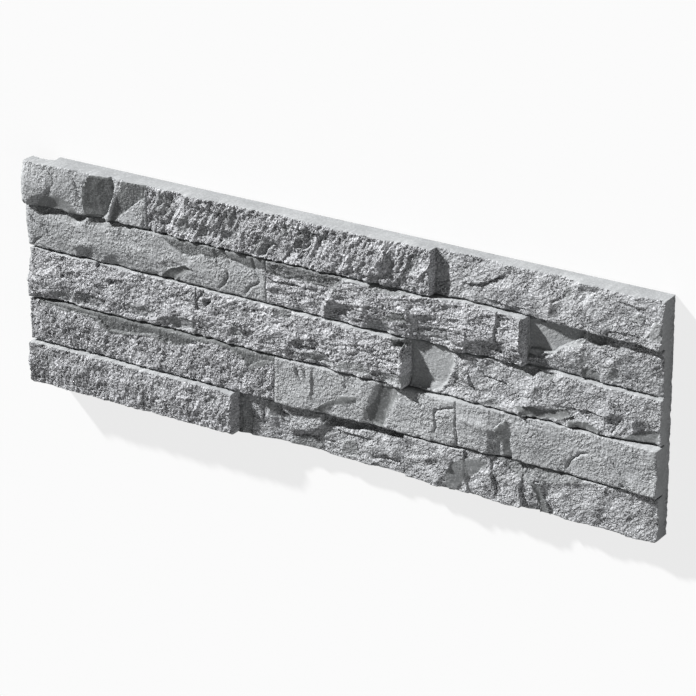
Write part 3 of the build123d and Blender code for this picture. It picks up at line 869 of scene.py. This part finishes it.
    def relief(self, stone: Stone, noise: Noise, x: Array, y: Array) -> Array:
        """Shapes the roughness of a stone's face.

        Args:
            stone: The stone.
            noise: Its own noise.
            x: Places along the panel.
            y: Places up the panel.

        Returns:
            Heights to add to the face.
        """
        grain, mean = stone.split.value, self.hollow_mean
        along, across = turned(x, y, grain.flake_turn)
        bend = self.bend * noise.smooth(x, y, self.bend_size)
        flakes = noise.flaked(along / grain.flake_stretch + bend, across + bend, grain.flake_size)
        small = noise.flaked(along / grain.flake_stretch, across - bend, grain.flake_size * self.small_size)
        planes = noise.flaked(x + 2.0 * bend, y - bend, self.plane_size, self.plane_tilt, self.plane_bowl)
        lumps = noise.flaked(along / grain.flake_stretch ** 0.5 + bend, across, self.lump_size)
        height = grain.swell * noise.smooth(x, y, self.swell_size)
        height += grain.planes * (planes - self.plane_mean)
        height += grain.flakes * (flakes - mean + self.small_share * (small - mean))
        height -= grain.lumps * (lumps - mean)
        return height - grain.grit * (noise.flaked(x, y, self.grit_size) - mean)

    def worn_rim(self, stone: Stone, noise: Noise, along: Array, gap: Array) -> Array:
        """Wears and chips the arris of one side.

        Args:
            stone: The stone.
            noise: Its own noise.
            along: Places along the side.
            gap: How far inside the side each place is.

        Returns:
            How far the face is worn down.
        """
        lane = np.full_like(along, self.lane * stone.course)
        width = self.ease + self.wear * np.abs(noise.smooth(along, lane, self.wear_size))
        chips = noise.smooth(along, lane + self.lane / 2, self.chip_size) - self.chip_level
        width += self.chip * np.clip(chips, 0.0, 1.0)
        return self.rim_slope * np.clip(width - gap, 0.0, self.widest_chip)

    def share_of(self, quality: str, stone: Stone, x: Array, y: Array, seen: tuple[Array, Array]) -> Array:
        """Finds how much polish or painted shade the stone's facets and flat breaks give each place.

        Args:
            quality: The field's name, polish or skin.
            stone: The stone.
            x: Places along the panel.
            y: Places up the panel.
            seen: The same places among the marks.

        Returns:
            Shares from 0 to 1.
        """
        result = np.zeros_like(x)
        for mark in stone.marks:
            if isinstance(mark, Facet):
                result = np.maximum(result, getattr(mark, quality) * inside(*seen, mark.outline))
        for plane in stone.planes:
            on = plane.over(*self.strayed(stone, x, y))[1]
            result = np.maximum(result, getattr(plane, quality) * on)
        return result

    def stone_heights(self, stone: Stone, x: Array, y: Array) -> Array:
        """Shapes one stone.

        Args:
            stone: The stone.
            x: Places on it, along the panel.
            y: Places on it, up the panel.

        Returns:
            Their heights above the back.
        """
        noise = self.noise_of(stone)
        low, high = self.edge_lines(stone.course, x)
        left, right = self.ends(stone)
        ground = self.ground(stone, x, y)
        seen = self.seen(stone, x, y, ground)
        height = ground - sum(mark.lowering(*seen) for mark in stone.marks)
        height += (1.0 - self.share_of("polish", stone, x, y, seen)) * self.relief(stone, noise, x, y)
        sides = ((x, y - low), (x, high - y), (y, x - left), (y, right - x))
        for index, (along, gap) in enumerate(sides):
            height -= self.worn_rim(stone, noise, along + self.side_shift * index, np.maximum(gap, 0.0))
        log.info("stone %s: %.0f to %.0f mm, %s", stone.name, stone.left, stone.right, stone.split.name)
        return np.maximum(height, JOINT_FLOOR + self.least_rise)

    def heights(self, x: Array, y: Array) -> Array:
        """Shapes the whole face.

        Args:
            x: Places along the panel.
            y: Places up the panel.

        Returns:
            Heights above the back. Places between the stones get the joint floor's.
        """
        near = self.near
        result = JOINT_FLOOR + self.joint_grit * self.edges.smooth(x, y, self.joint_grit_size)
        shallow = (x > LENGTH - self.joint_end) & (y > self.joint_end_from)
        result[shallow] += self.joint_end_rise * (1 - (LENGTH - x[shallow]) / self.joint_end)
        for stone in STONES:
            left, right = self.ends(stone)
            low, high = self.edge_lines(stone.course, x)
            level = (y > low - near) & (y < high + near)
            on = (x > left - near) & (x < right + near) & level
            result[on] = self.stone_heights(stone, x[on], y[on])
            groove = (x >= right + near) & (x <= right + UPRIGHT_WIDTH - near) & level
            if stone.right < LENGTH and groove.any():
                after = next(s for s in STONES if s.course == stone.course and s.left == stone.right)
                lower = np.minimum(self.base_height(stone, x[groove], y[groove]),
                                   self.base_height(after, x[groove], y[groove]))
                result[groove] = np.maximum(lower - self.upright_depth, JOINT_FLOOR)
        return result

    def grain(self, x: Array, y: Array) -> tuple[Array, ...]:
        """Finds the material's grain over the whole face.

        Args:
            x: Places along the panel.
            y: Places up the panel.

        Returns:
            Coarseness, painted shade, and the places along and across the grain's direction.
        """
        coarseness = np.full_like(x, self.wall_coarseness)
        skin = np.zeros_like(x)
        along, across = x.copy(), y.copy()
        for stone in STONES:
            low, high = self.edge_lines(stone.course, x)
            reach, grain = self.grain_reach, stone.split.value
            on = (x >= stone.left) & (x <= stone.right) & (y >= low - reach) & (y <= high + reach)
            seen = self.seen(stone, x[on], y[on], self.ground(stone, x[on], y[on]))
            polish = self.share_of("polish", stone, x[on], y[on], seen)
            inner = (y[on] > low[on] + self.wall_rim) & (y[on] < high[on] - self.wall_rim)
            coarseness[on] = np.where(inner, grain.coarseness * (1.0 - polish), self.wall_coarseness)
            skin[on] = self.share_of("skin", stone, x[on], y[on], seen)
            run, side = turned(x[on], y[on], grain.flake_turn)
            along[on], across[on] = run / grain.flake_stretch, side
        return coarseness, skin, along, across


@dataclass(frozen=True)
class Bite:
    """The piece broken out of the back edge at the top left corner."""

    along: float = 14.5
    up: float = 7.6
    inward: float = 10.0
    over: float = 2.0  # how far the cutter reaches out of the panel
    cuts: int = 11  # of the cutter's sides, for the broken surface
    seed: int = 17
    narrowing: float = 0.45  # share by which it is smaller at its inner end
    arch: float = 0.3  # share by which its roof is lower at its sides
    end_break: float = 0.5  # how rough its end and its roof are
    roof_break: float = 0.6
    break_size: float = 4.0

    def cut(self, piece: bpy.types.Object, finish: bpy.types.Material) -> None:
        """Breaks the bite out of the casting, with a rough surface.

        Args:
            piece: The casting.
            finish: Material of the broken surface.
        """
        bpy.ops.object.select_all(action="DESELECT")
        bpy.ops.mesh.primitive_cube_add(size=1.0, location=(0.0, 0.0, 0.0))
        cutter = bpy.context.object
        bpy.ops.object.mode_set(mode="EDIT")
        bpy.ops.mesh.subdivide(number_cuts=self.cuts)
        bpy.ops.object.mode_set(mode="OBJECT")
        u, v, w = (mesh_points(cutter.data) + 0.5).T
        noise = Noise(self.seed)
        narrowed = 1.0 - self.narrowing * (1.0 - v)
        arch = 1.0 - self.arch * np.abs(2.0 * u - 1.0)
        x = -self.over + (self.along + self.over) * u * narrowed
        y = HEIGHT - self.inward + (self.inward + self.over) * v
        z = -self.over + (self.up * arch * narrowed + self.over) * w
        x += self.end_break * u * noise.rough(y, z, self.break_size)
        z += self.roof_break * w * noise.rough(x, y, self.break_size)
        place_points(cutter.data, x, y, z)
        layer = cutter.data.attributes.new("coarseness", "FLOAT", "POINT")
        layer.data.foreach_set("value", np.ones(len(x), dtype=np.float32))
        cutter.data.materials.append(finish)
        bpy.ops.object.select_all(action="DESELECT")
        piece.select_set(True)
        bpy.context.view_layer.objects.active = piece
        cut = piece.modifiers.new("bite", "BOOLEAN")
        cut.operation = "DIFFERENCE"
        cut.solver = "MANIFOLD"
        cut.object = cutter
        bpy.ops.object.modifier_apply(modifier=cut.name)
        bpy.data.objects.remove(cutter)


@dataclass
class StonePanel:
    """The whole casting as one closed mesh: face, sides and back."""

    bite: Bite = Bite()
    spacing: float = 0.5  # between the face's points, before the flatter places are thinned
    slack: float = 0.2  # share of a spacing by which the columns may be further apart
    face_triangles: int = 183_000  # of the thinned face; the sides and the back add to them
    painted_shade_step: float = 0.1  # change of the painted shade between points that keeps them from thinning
    end_strip: float = 0.2  # first column inside each end
    kept_rim: float = 0.6  # share of a spacing along the panel's outline that isn't thinned
    wall_run: float = 0.1  # how far a joint's wall leans out, so that it is nearly upright
    rim_steps: tuple[float, ...] = (0.0, 0.2, 0.45, 0.8)
    side_rows: int = 2
    side_coarseness: float = 0.05
    touch: float = 0.02  # how near a side a point counts as on it
    corner_radius: float = 1.5  # of the outline's two lower corners
    sharp_angle: float = 50.0  # past which an edge isn't smoothed
    back_wear: float = 0.6  # how ragged the back's right edge is
    back_wear_size: float = 6.0
    back_seed: int = 29
    burr: float = 2.4  # how far the burr at the top left corner stands out
    burr_length: float = 3.5
    burr_rise: float = 1.5  # its top, as a share of the bite's height
    left_ends: Points = ((48.0, 0.3), (52.0, 0.8), (73.0, 0.8), (77.0, 2.0), (99.0, 2.0), (102.0, 1.3))
    left_end_rise: float = 8.0  # up from the back, over which the left end leans out

    def columns(self) -> Array:
        """Lays out the face's columns of points, closer together at the upright joints.

        Returns:
            Their places along the panel.
        """
        half = UPRIGHT_WIDTH / 2
        stops = [0.0, self.end_strip, LENGTH - self.end_strip, LENGTH]
        for end in {stone.right for stone in STONES if stone.right < LENGTH}:
            stops += [end - half - step for step in self.rim_steps]
            stops += [end + half + step for step in self.rim_steps]
            stops += [end - half + self.wall_run, end + half - self.wall_run]
        stops.sort()
        places = [stops[0]]
        for start, end in zip(stops, stops[1:]):
            count = max(1, math.ceil((end - start) / self.spacing - self.slack))
            places += [start + (end - start) * step / count for step in range(1, count + 1)]
        return np.array(places)

    def rows(self, face: PanelFace, x: Array) -> list[Array]:
        """Lays out the face's rows of points.

        Args:
            face: Gives the stones' edges.
            x: Places of the columns.

        Returns:
            The height up the panel of each row, at each column.
        """
        rows = []
        count = round((COURSE_HEIGHT - JOINT_WIDTH - 2 * self.rim_steps[-1]) / self.spacing)
        for course in range(COURSES):
            low, high = face.edge_lines(course, x)
            start, end = low + self.rim_steps[-1], high - self.rim_steps[-1]
            if course > 0:
                rows += [face.joint_line(course, x), low - self.wall_run]
            rows += [low + step for step in self.rim_steps[:-1]]
            rows += [start + (end - start) * step / count for step in range(count + 1)]
            rows += [high - step for step in reversed(self.rim_steps[:-1])]
            if course < COURSES - 1:
                rows.append(high + self.wall_run)
        return rows

    def build(self, face: PanelFace, finish: bpy.types.Material) -> bpy.types.Object:
        """Makes the casting.

        Args:
            face: Gives the height of every place.
            finish: Its material.

        Returns:
            The casting's object, at the origin.
        """
        columns = self.columns()
        rows = self.rows(face, columns)
        bpy.ops.object.select_all(action="DESELECT")
        bpy.ops.mesh.primitive_grid_add(x_subdivisions=len(columns) - 1, y_subdivisions=len(rows) - 1,
                                        size=1.0, location=(0.0, 0.0, 0.0))
        piece = bpy.context.object
        piece.name = piece.data.name = "panel_casting"
        x, y = np.tile(columns, len(rows)), np.concatenate(rows)
        place_points(piece.data, *self._rounded(x, y), face.heights(x, y))
        self._thin(piece, x, y, face.grain(x, y)[1].reshape(len(rows), -1))
        self._draw_sides()
        self._wear_sides(piece.data)
        self._map_grain(piece.data, face)
        piece.data.materials.append(finish)
        self.bite.cut(piece, finish)
        piece.data.calc_loop_triangles()
        log.info("%s: %d triangles", piece.name, len(piece.data.loop_triangles))
        return piece

    def _rounded(self, x: Array, y: Array) -> tuple[Array, Array]:
        """Draws the outline's two lower corners in to their radius.

        Args:
            x: Places along the panel.
            y: Places up the panel.

        Returns:
            The same places, moved.
        """
        radius = self.corner_radius
        centre = np.where(x < LENGTH / 2, radius, LENGTH - radius)
        across, up = np.abs(x - centre), radius - y
        corner = ((x < radius) | (x > LENGTH - radius)) & (y < radius)
        share = np.ones_like(x)
        share[corner] = np.maximum(across, up)[corner] / np.hypot(across, up)[corner]
        return centre + (x - centre) * share, np.where(corner, radius - up * share, y)

    def _thin(self, piece: bpy.types.Object, x: Array, y: Array, skin: Array) -> None:
        """Thins the face's mesh where it is flat, and leaves the panel's and the painted shade's outlines.

        Args:
            piece: The face.
            x: Places of its points along the panel.
            y: Places of its points up the panel.
            skin: The painted shade at its points, row by row.
        """
        near = self.kept_rim * self.spacing
        within = (x > near) & (x < LENGTH - near) & (y > near) & (y < HEIGHT - near)
        within &= np.hypot(*np.gradient(skin)).ravel() < self.painted_shade_step
        group = piece.vertex_groups.new(name="within")
        group.add(np.flatnonzero(within).tolist(), 1.0, "REPLACE")
        piece.data.calc_loop_triangles()
        thinning = piece.modifiers.new("thinning", "DECIMATE")
        thinning.ratio = min(1.0, self.face_triangles / len(piece.data.loop_triangles))
        thinning.vertex_group = group.name
        bpy.ops.object.modifier_apply(modifier=thinning.name)
        piece.vertex_groups.clear()

    def _draw_sides(self) -> None:
        """Draws the sides down from the face's edge and fills the back."""
        bpy.ops.object.mode_set(mode="EDIT")
        bpy.ops.mesh.select_mode(type="EDGE")
        bpy.ops.mesh.select_all(action="DESELECT")
        bpy.ops.mesh.select_non_manifold(extend=False, use_wire=False, use_multi_face=False,
                                         use_non_contiguous=False, use_verts=False)
        for row in range(self.side_rows):
            bpy.ops.mesh.extrude_edges_move(TRANSFORM_OT_translate={"value": (0.0, 0.0, -MM)})
            share = (self.side_rows - 1 - row) / (self.side_rows - row)
            bpy.ops.transform.resize(value=(1.0, 1.0, share), center_override=(0.0, 0.0, 0.0))
        bpy.ops.mesh.edge_face_add()
        bpy.ops.mesh.select_all(action="SELECT")
        bpy.ops.mesh.normals_make_consistent(inside=False)
        bpy.ops.object.mode_set(mode="OBJECT")
        bpy.ops.object.shade_smooth_by_angle(angle=math.radians(self.sharp_angle))

    def _wear_sides(self, mesh: bpy.types.Mesh) -> None:
        """Breaks up the back's right edge, leans the left end out and adds the burr.

        Args:
            mesh: The casting's mesh.
        """
        x, y, z = (mesh_points(mesh) / MM + CORNER).T
        worn = (x > LENGTH - self.touch) & (z < self.touch)
        x[worn] -= self.back_wear * np.abs(Noise(self.back_seed).rough(y[worn], z[worn], self.back_wear_size))
        left = x < self.touch
        lean = np.clip(z[left] / self.left_end_rise, 0.0, 1.0)
        x[left] -= lean * np.interp(y[left], *zip(*self.left_ends))
        raised = (y > HEIGHT - self.touch) & (z > self.bite.up) & (z < self.burr_rise * self.bite.up)
        y[raised] += self.burr * np.exp(-(x[raised] / self.burr_length) ** 2)
        place_points(mesh, x, y, z)

    def _map_grain(self, mesh: bpy.types.Mesh, face: PanelFace) -> None:
        """Gives the face its grain's coarseness, painted shade and direction. The plain sides have little.

        Args:
            mesh: The casting's mesh.
            face: Gives the grain of every place.
        """
        x, y, _ = (mesh_points(mesh) / MM + CORNER).T
        coarseness, skin, along, across = face.grain(x, y)
        rim = self.touch
        side = (x < rim) | (x > LENGTH - rim) | (y < rim) | (y > HEIGHT - rim)
        coarseness[side] = self.side_coarseness
        skin[side] = 0.0
        for name, values in (("coarseness", coarseness), ("skin", skin)):
            layer = mesh.attributes.new(name, "FLOAT", "POINT")
            layer.data.foreach_set("value", values.astype(np.float32))
        corners = np.empty(len(mesh.loops), dtype=np.int32)
        mesh.loops.foreach_get("vertex_index", corners)
        places = np.column_stack((along, across))[corners] * MM
        mesh.uv_layers[0].data.foreach_set("uv", places.astype(np.float32).ravel())


def linear(code: str) -> tuple[float, float, float, float]:
    """Linear colour of an sRGB hex code.

    Args:
        code: Six hex digits after a hash sign.

    Returns:
        Red, green, blue and full opacity.
    """
    parts = [int(code[i:i + 2], 16) / 255 for i in (1, 3, 5)]
    return (*[p / 12.92 if p <= 0.04045 else ((p + 0.055) / 1.055) ** 2.4 for p in parts], 1.0)


def add_node(tree: bpy.types.NodeTree, kind: str, settings: dict | None = None,
             **inputs: object) -> bpy.types.Node:
    """Adds a node.

    Args:
        tree: Where it goes.
        kind: Its type, without the words ShaderNode.
        settings: Its properties by name.
        inputs: Its sockets by name or number, with underscores for spaces: a value, or a
            socket to link.

    Returns:
        The node.
    """
    node = tree.nodes.new("ShaderNode" + kind)
    for name, value in (settings or {}).items():
        setattr(node, name, value)
    for name, value in inputs.items():
        socket = node.inputs[int(name[1:])] if name[1:].isdigit() else node.inputs[name.replace("_", " ")]
        if isinstance(value, bpy.types.NodeSocket):
            tree.links.new(value, socket)
        else:
            socket.default_value = value
    return node


@dataclass(frozen=True)
class CastConcrete:
    """Grey cast concrete, cast against a rubber mould of split stone.

    It is matt, slightly mottled by the pigment, and speckled by dark and pale sand grains
    under 1 mm. Its colour is painted paler where the face is rough, as painted light that lifts
    the rough places which their bump relief shades darker, and painted darker on the dark
    facets and breaks and a little over two whole stones, as painted shade in place of their shading.
    """

    body: str = "#97999A"
    light: str = "#A5A7A8"
    dark: str = "#86888A"
    dark_sand: str = "#55555A"
    pale_sand: str = "#D4D4D8"
    # Paler colour on rough places: painted light, lifting what their bump relief shades darker
    rough_painted_light: str = "#B4B4B8"
    # Darker colour of the painted shade on the dark facets and breaks
    painted_shade_colour: str = "#646666"
    roughness: float = 0.92
    specular: float = 0.3
    mottle_mm: float = 22.0
    patch_mm: float = 9.0
    sand_mm: float = 0.9
    grit_mm: float = 1.0
    grit_height_mm: float = 2.4
    lump_mm: float = 1.9
    lump_height_mm: float = 4.2
    mottle_span: tuple[float, float] = (0.35, 0.65)  # of the noise, from dark to light
    mottle_share: float = 0.5
    # How much of the rough places' painted light is laid on, from this coarseness up
    rough_light_share: float = 0.35
    rough_light_from: float = 0.5  # coarseness
    speckle: tuple[float, float] = (0.15, 0.80)  # on the smoothest and the coarsest places
    dark_sand_span: tuple[float, float] = (0.54, 0.68)
    pale_sand_span: tuple[float, float] = (0.46, 0.32)
    patch_span: tuple[float, float] = (0.38, 0.60)
    patch_strength: tuple[float, float] = (0.45, 1.25)  # of the grain's relief

    def material(self) -> bpy.types.Material:
        """Makes the material.

        Returns:
            The material. It reads the mesh's coarseness, painted shade and UV map.
        """
        made = bpy.data.materials.new("cast_concrete_grey")
        made.use_nodes = True
        tree = made.node_tree
        tree.nodes.clear()
        place = add_node(tree, "TexCoord").outputs["Object"]
        grain = add_node(tree, "UVMap", {"uv_map": "UVMap"}).outputs["UV"]
        coarseness, skin = (add_node(tree, "Attribute", {"attribute_name": name}).outputs["Fac"]
                            for name in ("coarseness", "skin"))
        mottle, patches, sand, grit, lumps = (
            add_node(tree, "TexNoise", Vector=vector, Scale=1 / (size * MM), Detail=detail,
                     Roughness=rough).outputs["Fac"]
            for vector, size, detail, rough in (
                (place, self.mottle_mm, 4.0, 0.6), (place, self.patch_mm, 3.0, 0.5),
                (place, self.sand_mm, 2.0, 0.5), (place, self.grit_mm, 2.0, 0.5),
                (grain, self.lump_mm, 2.0, 0.5)))
        speckle, shade, rough_light, strength = (
            add_node(tree, "MapRange", Value=value, From_Min=start, From_Max=end, To_Min=least,
                     To_Max=most).outputs["Result"]
            for value, (start, end), (least, most) in (
                (coarseness, (0.0, 1.0), self.speckle), (mottle, self.mottle_span, (0.0, 1.0)),
                (coarseness, (self.rough_light_from, 1.0), (0.0, self.rough_light_share)),
                (patches, self.patch_span, self.patch_strength)))
        dark, pale = (add_node(tree, "MapRange", Value=sand, From_Min=start, From_Max=end,
                               To_Max=speckle).outputs["Result"]
                      for start, end in (self.dark_sand_span, self.pale_sand_span))
        mottled = add_node(tree, "Mix", {"data_type": "RGBA"}, _0=shade, _6=linear(self.dark),
                           _7=linear(self.light)).outputs[2]
        colour = add_node(tree, "Mix", {"data_type": "RGBA"}, _0=self.mottle_share,
                          _6=linear(self.body), _7=mottled).outputs[2]
        # Painted light paler on rough places, painted shade darker where the mesh asks for it, then the sand
        # specks
        for share, over in ((rough_light, self.rough_painted_light), (skin, self.painted_shade_colour), (dark, self.dark_sand),
                            (pale, self.pale_sand)):
            colour = add_node(tree, "Mix", {"data_type": "RGBA"}, _0=share, _6=colour,
                              _7=linear(over)).outputs[2]
        strength = add_node(tree, "Math", {"operation": "MULTIPLY", "use_clamp": True}, _0=coarseness,
                            _1=strength).outputs[0]
        coarse = add_node(tree, "Bump", Height=lumps, Strength=strength,
                          Distance=self.lump_height_mm * MM).outputs["Normal"]
        fine = add_node(tree, "Bump", Height=grit, Strength=strength, Normal=coarse,
                        Distance=self.grit_height_mm * MM).outputs["Normal"]
        surface = add_node(tree, "BsdfPrincipled", Base_Color=colour, Roughness=self.roughness,
                           Normal=fine, Specular_IOR_Level=self.specular)
        add_node(tree, "OutputMaterial", Surface=surface.outputs["BSDF"])
        return made


@dataclass(frozen=True)
class Studio:
    """Camera, lights and floor."""

    camera_at: tuple[float, float, float] = (0.75641, 0.58281, 1.14536)
    right: tuple[float, float, float] = (0.83819823, -0.00846784, -0.54529993)
    up: tuple[float, float, float] = (-0.20879685, 0.91871369, -0.33521491)
    back: tuple[float, float, float] = (0.50381306, 0.39483345, 0.76829613)
    lens: float = 152.93
    sensor: float = 36.0
    clip_start: float = 0.01
    key_from: tuple[float, float, float] = (-0.67, 0.65, 0.36)
    key_strength: float = 8.0
    key_angle: float = 3.0
    fill_from: tuple[float, float, float] = (0.80, -0.38, 0.46)
    fill_strength: float = 1.0
    fill_angle: float = 60.0
    sky_strength: float = 0.10
    floor_size: float = 30.0
    floor_drop: float = 0.0004  # under the panel's back
    floor_tone: float = 0.72
    floor_glow: float = 0.78  # share of the floor that is seen as white

    def add_camera(self) -> None:
        """Adds the camera, at the photograph's place and angle."""
        lens = bpy.data.cameras.new("camera")
        lens.lens = self.lens
        lens.sensor_width = self.sensor
        lens.clip_start = self.clip_start
        camera = bpy.data.objects.new("camera", lens)
        turn = Matrix((self.right, self.up, self.back)).transposed()
        camera.matrix_world = Matrix.Translation(self.camera_at) @ turn.to_4x4()
        bpy.context.scene.collection.objects.link(camera)
        bpy.context.scene.camera = camera

    def add_lights(self) -> None:
        """Adds a key light from the panel's upper left, a broad fill opposite and a pale sky."""
        for name, place, strength, angle in (
                ("key", self.key_from, self.key_strength, self.key_angle),
                ("fill", self.fill_from, self.fill_strength, self.fill_angle)):
            lamp = bpy.data.lights.new(name, "SUN")
            lamp.energy = strength
            lamp.angle = math.radians(angle)
            light = bpy.data.objects.new(name, lamp)
            light.rotation_mode = "QUATERNION"
            light.rotation_quaternion = Vector(place).to_track_quat("Z", "Y")
            bpy.context.scene.collection.objects.link(light)
        world = bpy.data.worlds.new("studio")
        world.use_nodes = True
        tree = world.node_tree
        tree.nodes.clear()
        path = add_node(tree, "LightPath")
        shown = path.outputs["Is Camera Ray"]
        for ray in ("Is Glossy Ray", "Is Transmission Ray"):
            shown = add_node(tree, "Math", {"operation": "MAXIMUM"}, _0=shown,
                             _1=path.outputs[ray]).outputs[0]
        strength = add_node(tree, "MapRange", Value=shown, To_Min=self.sky_strength, To_Max=1.0)
        sky = add_node(tree, "Background", Color=(1.0, 1.0, 1.0, 1.0), Strength=strength.outputs["Result"])
        add_node(tree, "OutputWorld", Surface=sky.outputs[0])
        bpy.context.scene.world = world

    def add_floor(self) -> None:
        """Adds the pale floor that the panel lies on. It keeps the panel's shadow."""
        bpy.ops.object.select_all(action="DESELECT")
        bpy.ops.mesh.primitive_plane_add(size=self.floor_size, location=(0.0, 0.0, -self.floor_drop))
        floor = bpy.context.object
        floor.name = "floor"
        finish = bpy.data.materials.new("white_board")
        finish.use_nodes = True
        tree = finish.node_tree
        tree.nodes.clear()
        path = add_node(tree, "LightPath")
        matt = add_node(tree, "BsdfDiffuse", Color=(*(self.floor_tone,) * 3, 1.0))
        glow = add_node(tree, "Emission", Color=(1.0, 1.0, 1.0, 1.0), Strength=path.outputs["Is Camera Ray"])
        half = add_node(tree, "MixShader", _0=self.floor_glow, _1=matt.outputs[0], _2=glow.outputs[0])
        add_node(tree, "OutputMaterial", Surface=half.outputs[0])
        floor.data.materials.append(finish)


def main() -> None:
    """Builds the scene."""
    logging.basicConfig(level=logging.INFO, format="%(name)s: %(message)s")
    bpy.context.scene.view_settings.view_transform = "Standard"
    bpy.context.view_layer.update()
    studio = Studio()
    studio.add_camera()
    studio.add_lights()
    studio.add_floor()
    face = PanelFace(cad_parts["stone_panel"])
    finish = CastConcrete().material()
    piece = StonePanel().build(face, finish)
    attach(piece, "root")
    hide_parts("stone_panel")


if __name__ == "__main__":
    main()
